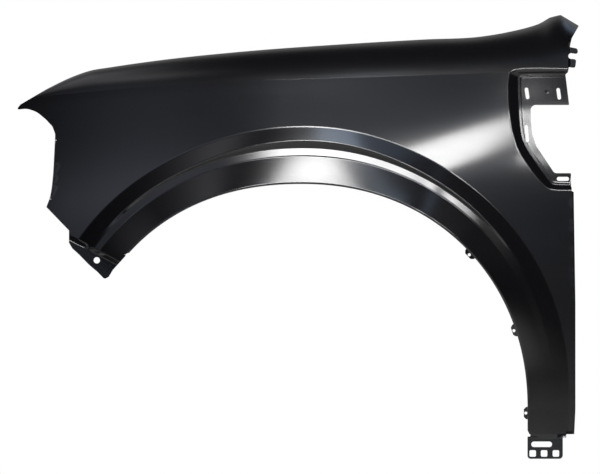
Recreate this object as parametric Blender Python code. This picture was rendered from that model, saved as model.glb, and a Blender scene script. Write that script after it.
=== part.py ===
"""Left front fender of a compact utility car: one pressed steel sheet.

Sizes are in millimetres. X runs to the rear of the car, Z is up, and the
outer skin faces -Y, so +Y is inboard. The wheel centre is (0, 0) in X and Z.
The sheet is laid out flat as a blank, meshed, pressed to its skin, and its
flanges are folded; then it is given its thickness.
"""
import math

import bmesh
import bpy
import numpy as np
from mathutils import Vector
from mathutils.geometry import delaunay_2d_cdt

MM = 0.001
SHEET = 0.8

# Wheel arch, and the rows of the flare as distances outside its lip.
ARCH_HALF_WIDTH = 426.4
ARCH_HEIGHT = 425.0
ARCH_POWER_FRONT = 2.19
ARCH_POWER_REAR = 2.13
BAND_ROW = 48.0
SHELF_ROW = 60.0
CREST_ROW = 66.0
CREASE_ROW = 95.0
CROWN_EXTRA = 14.0

# Outward slope of each row of the flare.
FLARE_SLOPE = 0.46
STEP_SLOPE = -0.72
SHELF_SLOPE = 0.30
BAND_SLOPE = 0.38
FLANK_RAKE = 0.24

# Outer skin.
NOSE_WRAP = 92.0
NOSE_START = -30.0
TAIL_TAPER = 22.0
TAIL_START = 0.0
CROWN_LEAN = 0.45
CROWN_ROLL = 0.56
HAUNCH_SLOPE = 0.32
HAUNCH_WIDTH = 30.0
HAUNCH_REACH = 96.0
HAUNCH_DROP = 102.0
HAUNCH_RAKE = 0.44
HAUNCH_SPREAD = 0.17
TUCK_UNDER = 0.03
POCKET_DEPTH = 11.0

# Folds.
BEND = 3.0
RELIEF = 0.5
LIP_FLANGE = 17.0
LIP_LEAN = 12.0
DOOR_FLANGE = 11.0
LAMP_FLANGE = 8.0
GUTTER_DEPTH = 14.0
LEDGE_WIDTH = 24.0
SEAT_X = 96.0
SEAT_LENGTH = 66.0
SEAT_HOLE_AHEAD = 22.0

# Tabs for the wheel-liner screws along the lip flange, as angles.
EAR_ANGLES = (42.6, 20.3, -0.9)
EAR_WIDTH = 26.0
EAR_REACH = 7.5
EAR_HOLE = 5.5

# Joggled tabs.
SILL_JOGGLE = 3.0
FORK_JOGGLE = 3.0
CHIN_JOGGLE = 2.0

# Holes.
SLOT_WIDTH = 6.8
SLOT_LENGTH = 21.8
SILL_SLOT = (39.0, 10.3)
SQUARE_HOLE = 12.2
CHIN_HOLE = 11.8
LEDGE_HOLE = 9.0
LEDGE_HOLES_X = (-430.0, -250.0, -80.0, SEAT_X - SEAT_HOLE_AHEAD, 250.0, 410.0)

# Spacing of the mesh: along the arch in degrees, along rows, over open areas and round corners.
ARCH_STEP = 2.6
ROW_STEP = 21.0
FIELD_STEP = 23.5
FIELD_GAP = 11.0
CORNER_STEP = 1.9

# Lines of the side view as (x, z) control points.
HOOD_EDGE = (
    (-528.0, 573.3), (-475.5, 603.5), (-423.0, 628.0), (-396.0, 637.0), (-360.0, 643.0),
    (-265.0, 656.5), (-107.0, 673.0), (77.0, 686.5), (230.0, 695.5), (340.0, 701.2),
    (393.0, 710.2), (445.0, 724.0), (488.0, 743.0), (522.5, 722.0),
)
SHOULDER = (
    (-535.0, 575.0), (-489.0, 587.0), (-408.0, 596.5), (-265.0, 608.5), (-96.0, 618.0),
    (74.0, 623.5), (242.0, 629.5), (402.0, 634.5), (540.0, 637.0),
)
LAMP_EDGE = (
    (-478.0, 380.7), (-471.0, 403.8), (-467.0, 433.0), (-464.4, 472.5), (-462.5, 512.0),
    (-465.7, 529.0), (-478.8, 543.5), (-497.3, 558.2), (-515.5, 564.5), (-534.3, 563.4),
)
POCKET_OUTER = (
    (560.0, 638.3), (402.0, 638.3), (395.0, 634.0), (391.5, 624.0), (390.9, 576.0),
    (395.9, 534.0), (407.8, 492.0), (431.3, 453.6), (454.8, 425.1), (463.0, 418.5),
    (472.0, 414.6), (560.0, 414.0),
)
POCKET_INNER = (
    (560.0, 629.6), (413.0, 629.6), (409.3, 627.6), (407.8, 623.0), (408.2, 590.0),
    (409.5, 571.0), (411.7, 534.0), (417.7, 504.0), (441.2, 465.3), (464.7, 431.8),
    (469.0, 426.4), (475.0, 423.2), (560.0, 422.6),
)
VENT_CUT = (
    (504.2, 572.5, 1.5), (431.5, 572.5, 10.0), (432.0, 540.0, 20.0), (434.5, 517.4, 15.0),
    (442.0, 495.6, 15.0), (476.5, 444.4, 8.0), (507.6, 444.4, 1.5), (507.6, 421.0, 1.5),
)


def ramp(x, r):
    """A slope of one that starts at zero, its corner rounded over -r..r."""
    x = np.asarray(x, float)
    return np.where(x <= -r, 0.0, np.where(x >= r, x, (x + r) ** 2 / (4.0 * r)))


def ease(x, low, high):
    """Zero below low, one above high, smooth between."""
    t = np.clip((np.asarray(x, float) - low) / (high - low), 0.0, 1.0)
    return t * t * (3.0 - 2.0 * t)


def follow(points, x):
    """Read a smooth curve through control points at the places x."""
    px = np.array([p[0] for p in points])
    pz = np.array([p[1] for p in points])
    slope = np.gradient(pz, px)
    x = np.clip(np.asarray(x, float), px[0], px[-1])
    i = np.clip(np.searchsorted(px, x) - 1, 0, len(px) - 2)
    span = px[i + 1] - px[i]
    t = (x - px[i]) / span
    h00 = 2 * t ** 3 - 3 * t ** 2 + 1
    h10 = t ** 3 - 2 * t ** 2 + t
    h01 = 3 * t ** 2 - 2 * t ** 3
    h11 = t ** 3 - t ** 2
    return h00 * pz[i] + h10 * span * slope[i] + h01 * pz[i + 1] + h11 * span * slope[i + 1]


def hood_z(x):
    return follow(HOOD_EDGE, x)


def shoulder_z(x):
    return follow(SHOULDER, x)


def door_x(z):
    return np.interp(z, (-46.0, 0.0, 200.0, 413.0), (513.8, 516.0, 516.0, 512.7))


def lamp_x(z):
    edge = [(p[1], p[0]) for p in LAMP_EDGE[:5]]
    return follow(edge, z)


def lip_radius(a):
    power = np.where(np.cos(a) < 0.0, ARCH_POWER_FRONT, ARCH_POWER_REAR)
    c = (np.abs(np.cos(a)) / ARCH_HALF_WIDTH) ** power
    s = (np.abs(np.sin(a)) / ARCH_HEIGHT) ** power
    return (c + s) ** (-1.0 / power)


def arch_place(x, z):
    """Distance outside the lip, and the angle round the arch in degrees."""
    x = np.asarray(x, float)
    z = np.asarray(z, float)
    low = (z < 0.0) & (x > 0.0)
    a = np.where(low, 0.0, np.arctan2(z, x))
    u = np.where(low, x - ARCH_HALF_WIDTH, np.hypot(x, z) - lip_radius(a))
    return u, np.degrees(a)


def arch_point(angle, u):
    """Point of the side view at an angle in degrees and a distance outside the lip."""
    if angle < 0.0:
        drop = math.tan(math.radians(angle)) * ARCH_HALF_WIDTH
        return (ARCH_HALF_WIDTH + u, drop)
    a = math.radians(angle)
    r = float(lip_radius(a)) + u
    return (r * math.cos(a), r * math.sin(a))


def flare_rows(angle):
    """Where the rows of the flare lie at an angle round the arch."""
    q = ((angle - 88.0) / 50.0) ** 2
    g = np.exp(-((angle - 88.0) / 22.0) ** 2)
    band = BAND_ROW - 4.0 * q + 0.28 * CROWN_EXTRA * g
    shelf = SHELF_ROW - 4.0 * q + 0.50 * CROWN_EXTRA * g
    crest = CREST_ROW - 4.5 * q + CROWN_EXTRA * g
    crease = CREASE_ROW - 6.0 * q + 0.86 * CROWN_EXTRA * g
    return band, shelf, crest, crease


def flare(u, angle):
    """Outward swell of the flare, with the step that a cladding edge sits in."""
    band, shelf, crest, crease = flare_rows(np.clip(angle, -10.0, 150.0))
    deep = ease(angle, 29.0, 45.0) * (1.0 - ease(angle, 134.0, 142.0))
    rear = ease(angle, 8.0, 48.0)
    rake = FLANK_RAKE * (1.0 - np.exp(-((angle - 87.0) / 18.0) ** 2))
    s1 = 0.16 + (FLARE_SLOPE + rake - 0.16) * rear
    s2 = s1 + (STEP_SLOPE - s1) * deep
    s3 = 0.14 + (SHELF_SLOPE * (1.0 + 0.2 * (1.0 - ease(angle, 46.0, 60.0))) - 0.14) * rear
    s4 = 0.12 + (BAND_SLOPE + rake - 0.12) * rear
    out = s1 * ramp(crease - u, 4.5)
    out += (s2 - s1) * ramp(crest - u, 2.2)
    out += (s3 - s2) * ramp(shelf - u, 2.0)
    out += (s4 - s3) * ramp(band - u, 1.8)
    return out


def distance(x, z, line):
    """Shortest distance from points to an open line."""
    best = np.full(np.shape(x), 1e9)
    for (ax, az), (bx, bz) in zip(line[:-1], line[1:]):
        dx, dz = bx - ax, bz - az
        t = np.clip(((x - ax) * dx + (z - az) * dz) / (dx * dx + dz * dz), 0.0, 1.0)
        best = np.minimum(best, np.hypot(x - ax - t * dx, z - az - t * dz))
    return best


def inside(x, z, loop):
    """Which points lie inside a closed loop."""
    hit = np.zeros(np.shape(x), bool)
    for (ax, az), (bx, bz) in zip(loop, loop[1:] + loop[:1]):
        if az == bz:
            continue
        crosses = (az > z) != (bz > z)
        hit ^= crosses & (x < ax + (z - az) * (bx - ax) / (bz - az))
    return hit


def pocket(x, z):
    """Share of the vent pocket's depth, zero on the skin and one on its floor."""
    x = np.asarray(x, float)
    z = np.asarray(z, float)
    outer = list(POCKET_OUTER)
    inner = list(POCKET_INNER)
    d_out = np.where(inside(x, z, outer), 1.0, -1.0) * distance(x, z, outer)
    d_in = np.where(inside(x, z, inner), -1.0, 1.0) * distance(x, z, inner)
    width = np.maximum(d_out + d_in, 1.0)
    near = np.abs(width)
    share = ramp(d_out, 1.6) - ramp(-d_in, 1.6)
    return np.clip(share / near, 0.0, 1.0)


def haunch(x, z):
    """Swell of the body over the wheel, lower and softer towards the front."""
    ahead = np.clip(384.0 - x, -20.0, 400.0)
    upper = HAUNCH_WIDTH + HAUNCH_SPREAD * ahead
    lower = np.maximum(HAUNCH_REACH - upper, HAUNCH_WIDTH)
    below = shoulder_z(x) - z - HAUNCH_DROP - HAUNCH_RAKE * ahead
    width = np.where(below < 0.0, upper, lower)
    return HAUNCH_SLOPE * (upper + width * np.tanh(below / width))


def skin(x, z):
    """How far the outer skin stands outboard at each place of the side view."""
    x = np.asarray(x, float)
    z = np.asarray(z, float)
    u, angle = arch_place(x, z)
    zs = shoulder_z(x)
    height = np.maximum(hood_z(x) - zs, 8.0)
    nose = np.maximum((NOSE_START - x) / (NOSE_START + 534.0), 0.0)
    tail = np.maximum((x - TAIL_START) / (516.0 - TAIL_START), 0.0)
    out = -NOSE_WRAP * nose ** 2.1 - TAIL_TAPER * tail ** 2
    t = ramp(z - zs, 6.0) / height
    out = out - height * (CROWN_LEAN * t + CROWN_ROLL * t ** 3)
    out = out + 0.04 * ramp(zs - z, 20.0) * (1.0 - ease(x, -100.0, 330.0))
    out = out - TUCK_UNDER * ramp(200.0 - z, 90.0)
    crease = flare_rows(np.clip(angle, -10.0, 150.0))[3]
    lift = np.maximum(crease - u, 0.0)
    turn = np.where(angle <= 0.0, 0.0, np.radians(angle))
    out = out + haunch(x + lift * np.cos(turn), z + lift * np.sin(turn))
    out = out + flare(u, angle)
    out = out - POCKET_DEPTH * pocket(x, z)
    return joggles(x, z, out)


def joggles(x, z, out):
    """Set the tabs back from the skin, each to a flat of its own."""
    sill = ease(-z, 46.0, 56.0)
    out = out + sill * (SILL_LEVEL - out)
    fork = ease(x, 502.0, 507.0) * ease(z, 637.0, 641.0) * (1.0 - ease(z, 682.0, 690.0))
    out = out + fork * (FORK_LEVEL - out)
    chin = ease(chin_depth(x, z), 0.0, 12.0)
    return out + chin * (CHIN_LEVEL - out)


def chin_depth(x, z):
    """Distance past the bend line of the lower front tab."""
    return ((x + 435.0) * -47.0 + (z - 330.0) * -90.0) / 101.5


SILL_LEVEL = 0.0
FORK_LEVEL = 0.0
CHIN_LEVEL = 0.0


def set_levels():
    """Take the level of each joggled tab from the skin beside it."""
    global SILL_LEVEL, FORK_LEVEL, CHIN_LEVEL
    sill = float(skin(470.0, -40.0)) - SILL_JOGGLE
    fork = float(skin(490.0, 662.0)) - FORK_JOGGLE
    chin = float(skin(-392.0, 310.0)) - CHIN_JOGGLE
    SILL_LEVEL, FORK_LEVEL, CHIN_LEVEL = sill, fork, chin


def walk(q, heading, legs):
    """Walk a length q along a folded section; legs are (length, turn) pairs."""
    a = 0.0
    b = 0.0
    for length, turn in legs:
        go = np.clip(q, 0.0, length)
        half = turn * go / length / 2.0
        chord = go * np.sinc(half / math.pi)
        a = a + chord * np.cos(heading + half)
        b = b + chord * np.sin(heading + half)
        heading = heading + 2.0 * half
        q = q - length
    return a, b


QUARTER = math.pi / 2.0
FAR = 300.0
BEND_LENGTH = BEND * QUARTER
LIP_TURN = QUARTER + math.radians(LIP_LEAN)
LIP_BEND = BEND * LIP_TURN
LIP_END = LIP_BEND + LIP_FLANGE
EAR_START = LIP_END + LIP_BEND
EAR_END = EAR_START + EAR_REACH
DOOR_END = BEND_LENGTH + DOOR_FLANGE
LAMP_END = BEND_LENGTH + LAMP_FLANGE


def hood_heading(x):
    """Lean of the skin where it meets the hood edge."""
    z = hood_z(x)
    return np.arctan2(1.0, skin(x, z - 1.0) - skin(x, z))


def gutter_top(x):
    """Height at which the gutter wall begins, under the rolled edge."""
    return hood_z(x) - BEND * np.cos(hood_heading(x))


def hood_section(x):
    """Start, heading, and the lengths of roll and wall at the places x."""
    z = hood_z(x)
    heading = hood_heading(x)
    level = 1.0 - ease(np.abs(x - SEAT_X) - SEAT_LENGTH / 2.0, 0.0, 25.0)
    wall = GUTTER_DEPTH + (gutter_top(x) - gutter_top(SEAT_X)) * level
    return -skin(x, z), z, heading, heading + QUARTER, wall


def hood_stations():
    """Places along the hood edge, with some at the ends of the rail seat."""
    start = SEAT_X - SEAT_LENGTH / 2.0
    end = SEAT_X + SEAT_LENGTH / 2.0
    places = spread(HOOD_FROM, start, ROW_STEP)[:-1]
    places += spread(start, end, ROW_STEP)
    return places + spread(end, HOOD_TO, ROW_STEP)[1:]


def ledge_start(x):
    """Length along the gutter section at which the ledge begins."""
    y, z, heading, roll, wall = hood_section(x)
    return float(BEND * roll + wall + BEND_LENGTH)


def fold_hood(x, s):
    """Roll over at the hood edge, go down the gutter wall and in along the ledge."""
    y, z, heading, roll, wall = hood_section(x)
    legs = ((BEND * roll, -roll), (wall, 0.0), (BEND_LENGTH, QUARTER), (FAR, 0.0))
    a, b = walk(s - z, heading, legs)
    return x, y + a, z + b


def fold_lip(x, s):
    """Turn inboard round the wheel arch, and back down into the liner tabs."""
    u, angle = arch_place(x, s)
    low = angle <= 0.0
    turn = np.radians(angle)
    ex = np.where(low, 1.0, np.cos(turn))
    ez = np.where(low, 0.0, np.sin(turn))
    fx = x + ex * (BEND - u)
    fz = s + ez * (BEND - u)
    lean = np.arctan(skin(fx - 0.5 * ex, fz - 0.5 * ez) - skin(fx + 0.5 * ex, fz + 0.5 * ez))
    bend = LIP_TURN + lean
    legs = (
        (BEND * bend, bend), (LIP_FLANGE - BEND * lean, 0.0), (LIP_BEND, -LIP_TURN), (FAR, 0.0),
    )
    a, b = walk(BEND - u, -lean, legs)
    return fx - ex * a, b - skin(fx, fz), fz - ez * a


def fold_side(x, s, edge, way):
    """Turn square inboard at an edge of the side view."""
    a, b = walk(way * (x - edge), 0.0, ((BEND_LENGTH, QUARTER), (FAR, 0.0)))
    return edge + way * a, b - skin(edge, s), s


def fold_zones(x, s):
    """Which points of the blank lie past the bend lines of hood, lip, door and lamp edge."""
    u, angle = arch_place(x, s)
    at_hood = (s > hood_z(x)) & (x > HOOD_FROM - 1.0) & (x < HOOD_TO + 1.0)
    at_lip = (u < BEND) & (s > LIP_FROM_Z - 1.0) & (angle < LIP_TO_ANGLE + 0.075)
    at_door = (x > door_x(s) - BEND) & (s < DOOR_TOP + 0.5)
    at_lamp = (x < lamp_x(s) + BEND) & (s > LAMP_LOW - RELIEF) & (s < LAMP_HIGH + RELIEF)
    return at_hood, at_lip, at_door, at_lamp


def fold(x, s, zones=None):
    """Place points of the flat blank on the folded sheet, in millimetres."""
    x = np.asarray(x, float)
    s = np.asarray(s, float)
    place = np.array([x, -skin(x, s), s])
    door = door_x(s) - BEND
    lamp = lamp_x(s) + BEND
    at_hood, at_lip, at_door, at_lamp = zones or fold_zones(x, s)
    place[:, at_hood] = fold_hood(x[at_hood], s[at_hood])
    place[:, at_lip] = fold_lip(x[at_lip], s[at_lip])
    place[:, at_door] = fold_side(x[at_door], s[at_door], door[at_door], 1.0)
    place[:, at_lamp] = fold_side(x[at_lamp], s[at_lamp], lamp[at_lamp], -1.0)
    return place.T


def arch_point_at(angle, u, s):
    if angle <= 0.0:
        return (ARCH_HALF_WIDTH + u, s)
    return arch_point(angle, u)


def origin():
    """Middle of the rail seat, on the underside of the ledge."""
    s = float(hood_z(SEAT_X)) + ledge_start(SEAT_X) + LEDGE_WIDTH / 2.0
    place = fold(np.array([SEAT_X]), np.array([s]))[0]
    return place - np.array([0.0, 0.0, SHEET])


HOOD_FROM = -488.0
HOOD_TO = 468.0
LIP_FROM_Z = -46.4
LIP_TO_ANGLE = 138.6
DOOR_TOP = 409.0
LAMP_LOW = 396.0
LAMP_HIGH = 506.0


def rounded(points, step):
    """Replace each corner (x, z, radius) by an arc; returns (x, z) points."""
    out = []
    n = len(points)
    for i, (x, z, r) in enumerate(points):
        p = Vector((x, z))
        before = Vector(points[i - 1][:2]) - p
        after = Vector(points[(i + 1) % n][:2]) - p
        turn = before.angle(after) if before.length and after.length else math.pi
        if r <= 0.0 or turn > 3.1:
            out.append((x, z))
            continue
        reach = min(r / math.tan(turn / 2.0), 0.48 * before.length, 0.48 * after.length)
        r = reach * math.tan(turn / 2.0)
        a = p + before.normalized() * reach
        b = p + after.normalized() * reach
        mid = (before.normalized() + after.normalized()).normalized()
        centre = p + mid * (r / math.sin(turn / 2.0))
        steps = max(2, int(math.ceil(r * (math.pi - turn) / step)))
        start = math.atan2(a.y - centre.y, a.x - centre.x)
        sweep = math.atan2(b.y - centre.y, b.x - centre.x) - start
        sweep = (sweep + math.pi) % (2.0 * math.pi) - math.pi
        for k in range(steps + 1):
            t = start + sweep * k / steps
            out.append((centre.x + r * math.cos(t), centre.y + r * math.sin(t)))
    return out


def spread(low, high, step):
    """Evenly spaced values from low to high, ends included."""
    count = max(1, int(round(abs(high - low) / step)))
    return [low + (high - low) * i / count for i in range(count + 1)]


def divide(points, step):
    """Add points so that no side of an open line is longer than step."""
    out = [points[0]]
    for a, b in zip(points[:-1], points[1:]):
        count = max(1, int(math.ceil(math.hypot(b[0] - a[0], b[1] - a[1]) / step)))
        for k in range(1, count + 1):
            t = k / count
            out.append((a[0] + (b[0] - a[0]) * t, a[1] + (b[1] - a[1]) * t))
    return out


def circle(x, z, diameter):
    r = diameter / 2.0
    count = max(14, round(math.pi * diameter / CORNER_STEP))
    turns = [2.0 * math.pi * k / count for k in range(count)]
    return [(x + r * math.cos(t), z + r * math.sin(t)) for t in turns]


def slot(x, z, length, width, lean):
    """Slot with round ends, its long axis leaning by an angle from upright."""
    r = width / 2.0
    count = max(8, round(math.pi * r / CORNER_STEP))
    half = length / 2.0 - r
    out = []
    for end in (1.0, -1.0):
        for k in range(count + 1):
            t = math.pi * k / count + (0.0 if end > 0.0 else math.pi)
            px, pz = r * math.cos(t), end * half + r * math.sin(t)
            c, s = math.cos(lean), math.sin(lean)
            out.append((x + px * c + pz * s, z - px * s + pz * c))
    return out


def ears():
    """Angles at which the lip flange grows its liner tabs."""
    half = math.degrees(EAR_WIDTH / 2.0 / ARCH_HALF_WIDTH)
    return [(angle - half, angle + half) for angle in EAR_ANGLES]


def lip_outline():
    """Inner edge of the blank along the lip flange, rear end first."""
    low = math.degrees(math.atan2(LIP_FROM_Z, ARCH_HALF_WIDTH))
    marks = []
    for start, end in sorted(ears()):
        inner = BEND - LIP_END
        outer = BEND - EAR_END
        lead = (end - start) * 0.22
        marks.append((start, inner))
        marks.append((start + lead * 0.3, outer + 4.0))
        marks.append((start + lead, outer))
        marks.append((end - lead, outer))
        marks.append((end - lead * 0.3, outer + 4.0))
        marks.append((end, inner))
    angles = [a for a in spread(low, LIP_TO_ANGLE, ARCH_STEP)]
    for a in angles:
        if not any(s - 1.0 < a < e + 1.0 for s, e in ears()):
            marks.append((a, BEND - LIP_END))
    marks.sort(key=lambda m: m[0])
    out = []
    for a, u in marks:
        out.append(arch_point_at(a, u, math.tan(math.radians(a)) * ARCH_HALF_WIDTH))
    out[0] = (out[0][0], LIP_FROM_Z)
    return out


def blank_outline():
    """Closed outline of the flat blank."""
    loop = []
    for x in spread(-528.0, HOOD_FROM, 0.6 * ROW_STEP):
        loop.append((x, float(hood_z(x))))
    for x in hood_stations():
        loop.append((x, float(hood_z(x)) + ledge_start(x) + LEDGE_WIDTH))
    loop.append((HOOD_TO, float(hood_z(HOOD_TO))))
    corner = [
        (HOOD_TO, float(hood_z(HOOD_TO)), 0.0), (488.0, 742.0, 5.0), (522.5, 721.5, 1.5),
        (509.5, 699.2, 25.0), (504.5, 681.5, 1.5), (519.8, 678.5, 4.0), (521.0, 668.0, 4.0),
        (502.8, 670.6, 5.2), (502.8, 659.6, 5.2), (517.6, 658.4, 4.0), (515.6, 642.0, 4.0),
        (503.6, 643.6, 1.0), (502.0, 634.0, 3.0), (497.2, 629.6, 1.0),
    ]
    corner += list(VENT_CUT)
    corner += [(509.0, 417.0, 3.0), (509.0, 410.6, 0.0)]
    loop += rounded(corner, CORNER_STEP)[1:-1]
    loop.append((509.0, 410.6))
    for z in spread(DOOR_TOP, -46.4, ROW_STEP):
        loop.append((float(door_x(z)) - BEND + DOOR_END, z))
    foot = [
        (520.0, -46.4, 0.0), (498.8, -46.4, 1.0), (498.8, -53.0, 1.0), (492.2, -53.0, 1.0),
        (492.2, -92.7, 7.0), (425.8, -92.7, 6.0), (425.8, -51.3, 1.0), (431.1, -51.3, 1.0),
        (431.1, LIP_FROM_Z, 1.0), (420.0, LIP_FROM_Z, 0.0),
    ]
    loop += rounded(foot, CORNER_STEP)[1:-1]
    loop += lip_outline()
    loop.append(arch_point(LIP_TO_ANGLE + 0.05, BEND + 0.8))
    loop.append(arch_point(LIP_TO_ANGLE + 0.10, BEND + 0.8))
    loop.append(arch_point(LIP_TO_ANGLE + 0.12, 0.0))
    chin = [
        arch_point(141.0, 0.0) + (0.0,), (-353.4, 262.6, 2.0), (-361.5, 249.3, 3.0),
        (-369.5, 245.0, 5.0), (-382.0, 258.0, 6.0), (-399.0, 272.5, 20.0),
        (-417.0, 291.0, 10.0), (-430.0, 302.8, 8.0), (-436.3, 313.8, 6.0),
        (-436.3, 336.5, 1.0), (-478.9, 380.7, 1.5), (-473.0, 393.0, 0.0),
    ]
    loop += rounded(chin, CORNER_STEP)[1:-1]
    loop.append((float(lamp_x(LAMP_LOW - RELIEF)), LAMP_LOW - 1.5 * RELIEF))
    loop.append((float(lamp_x(LAMP_LOW)) + BEND + 0.8, LAMP_LOW - 1.5 * RELIEF))
    loop.append((float(lamp_x(LAMP_LOW)) + BEND + 0.8, LAMP_LOW - 0.5 * RELIEF))
    for z in spread(LAMP_LOW, LAMP_HIGH, ROW_STEP):
        loop.append((float(lamp_x(z)) + BEND - LAMP_END, z))
    loop.append((float(lamp_x(LAMP_HIGH)) + BEND + 0.8, LAMP_HIGH + 0.5 * RELIEF))
    loop.append((float(lamp_x(LAMP_HIGH)) + BEND + 0.8, LAMP_HIGH + 1.5 * RELIEF))
    nose = [
        (-462.6, LAMP_HIGH + 1.5 * RELIEF, 0.0), (-462.3, 518.0, 12.0), (-467.5, 532.0, 14.0),
        (-479.5, 545.0, 30.0), (-497.0, 559.6, 40.0), (-515.5, 565.6, 30.0),
        (-535.0, 563.6, 2.0), (-528.0, 573.3, 0.0),
    ]
    loop += rounded(nose, 2.5 * CORNER_STEP)[:-1]
    return loop


def holes():
    """Closed outlines pierced in the blank."""
    lean = math.atan2(-1.6, 11.1)
    cuts = [
        slot(425.0, 594.3, SLOT_LENGTH, SLOT_WIDTH, lean),
        slot(484.6, 593.5, SLOT_LENGTH, SLOT_WIDTH, lean),
        slot(424.6, 519.0, 33.0, 6.4, math.atan2(-2.6, 33.0)),
        slot(492.4, 433.6, 23.0, 7.6, QUARTER),
        slot(452.4, -65.4, SILL_SLOT[0], SILL_SLOT[1], QUARTER),
        circle(-383.9, 280.5, CHIN_HOLE),
    ]
    half = SQUARE_HOLE / 2.0
    for x in (435.6, 457.0, 479.2):
        z = -82.6
        square = [
            (x - half, z - half, 2.6), (x + half, z - half, 2.6),
            (x + half, z + half, 2.6), (x - half, z + half, 2.6),
        ]
        cuts.append(rounded(square, 0.7 * CORNER_STEP))
    for angle in EAR_ANGLES:
        u = BEND - EAR_START - EAR_REACH / 2.0
        x, z = arch_point(angle, u)
        cuts.append(circle(x, z, EAR_HOLE))
    for x in LEDGE_HOLES_X:
        s = float(hood_z(x)) + ledge_start(x) + LEDGE_WIDTH / 2.0
        cuts.append(circle(x, s, LEDGE_HOLE))
    return cuts


def offset_line(line, gap):
    """Shift an open line sideways, to its left for a positive gap."""
    out = []
    for i, (x, z) in enumerate(line):
        ax, az = line[max(i - 1, 0)]
        bx, bz = line[min(i + 1, len(line) - 1)]
        size = math.hypot(bx - ax, bz - az)
        out.append((x - (bz - az) / size * gap, z + (bx - ax) / size * gap))
    return out


def feature_rows():
    """Lines of the skin that the mesh follows."""
    rows = []
    angles = spread(-6.2, 148.0, ARCH_STEP)
    for key in range(13):
        row = []
        for a in angles:
            band, shelf, crest, crease = flare_rows(a)
            u = (
                BEND, 17.0, 33.0, band - 1.8, band + 1.8, shelf - 2.0, shelf + 2.0,
                crest - 2.2, crest + 2.2, (crest + crease) / 2.0,
                crease - 4.5, crease, crease + 4.5,
            )[key]
            row.append(arch_point_at(a, u, math.tan(math.radians(a)) * ARCH_HALF_WIDTH))
        rows.append(row)
    flat = spread(-6.2, LIP_TO_ANGLE, ARCH_STEP)
    for q in (LIP_BEND / 3.0, LIP_BEND * 2.0 / 3.0, LIP_BEND):
        rows.append([arch_point_at(a, BEND - q, math.tan(math.radians(a)) * ARCH_HALF_WIDTH)
                     for a in flat])
    for start, end in ears():
        turns = spread(start + 0.12, end - 0.12, 0.3 * ARCH_STEP)
        for q in (0.0, LIP_BEND / 2.0, LIP_BEND):
            rows.append([arch_point(a, BEND - LIP_END - q) for a in turns])
    xs = spread(-520.0, 500.0, ROW_STEP)
    for gap in (-14.0, -6.0, 0.0, 6.0):
        rows.append([(x, float(shoulder_z(x)) + gap) for x in xs])
    for share in (0.30, 0.50, 0.68, 0.84):
        rows.append([(x, float(shoulder_z(x)) + share * float(hood_z(x) - shoulder_z(x)))
                     for x in xs])
    xs = hood_stations()
    for key in range(8):
        row = []
        for x in xs:
            y, z, heading, roll, wall = hood_section(x)
            roll = BEND * roll
            q = (0.0, roll * 0.33, roll * 0.67, roll, roll + wall, roll + wall + BEND_LENGTH / 3.0,
                 roll + wall + BEND_LENGTH / 1.5, roll + wall + BEND_LENGTH)[key]
            row.append((x, float(z + q)))
        rows.append(row)
    zs = spread(-46.4, DOOR_TOP, ROW_STEP)
    for q in (0.0, BEND_LENGTH / 3.0, BEND_LENGTH * 2.0 / 3.0, BEND_LENGTH):
        rows.append([(float(door_x(z)) - BEND + q, z) for z in zs])
    zs = spread(LAMP_LOW, LAMP_HIGH, ROW_STEP)
    for q in (0.0, BEND_LENGTH / 2.0, BEND_LENGTH):
        rows.append([(float(lamp_x(z)) + BEND - q, z) for z in zs])
    for line in (POCKET_OUTER, POCKET_INNER):
        fine = divide(rounded([p + (6.0,) for p in line], 3.0 * CORNER_STEP)[1:-1], ROW_STEP)
        for gap in (-1.6, 1.6):
            rows.append(offset_line(fine, gap))
    for z in (-56.0, -52.5, -49.5, -46.0):
        rows.append([(x, z) for x in spread(427.0, 498.0, 0.6 * ROW_STEP)])
    for depth in (0.0, 4.0, 8.0, 12.0):
        base = (-435.0 - 0.463 * depth, 330.0 - 0.887 * depth)
        rows.append([(base[0] + 0.887 * t, base[1] - 0.463 * t) for t in spread(-20.0, 110.0, 0.5 * ROW_STEP)])
    for x in (502.0, 503.7, 505.3, 507.0):
        rows.append([(x, z) for z in spread(642.0, 688.0, 0.3 * ROW_STEP)])
    return rows


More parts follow.
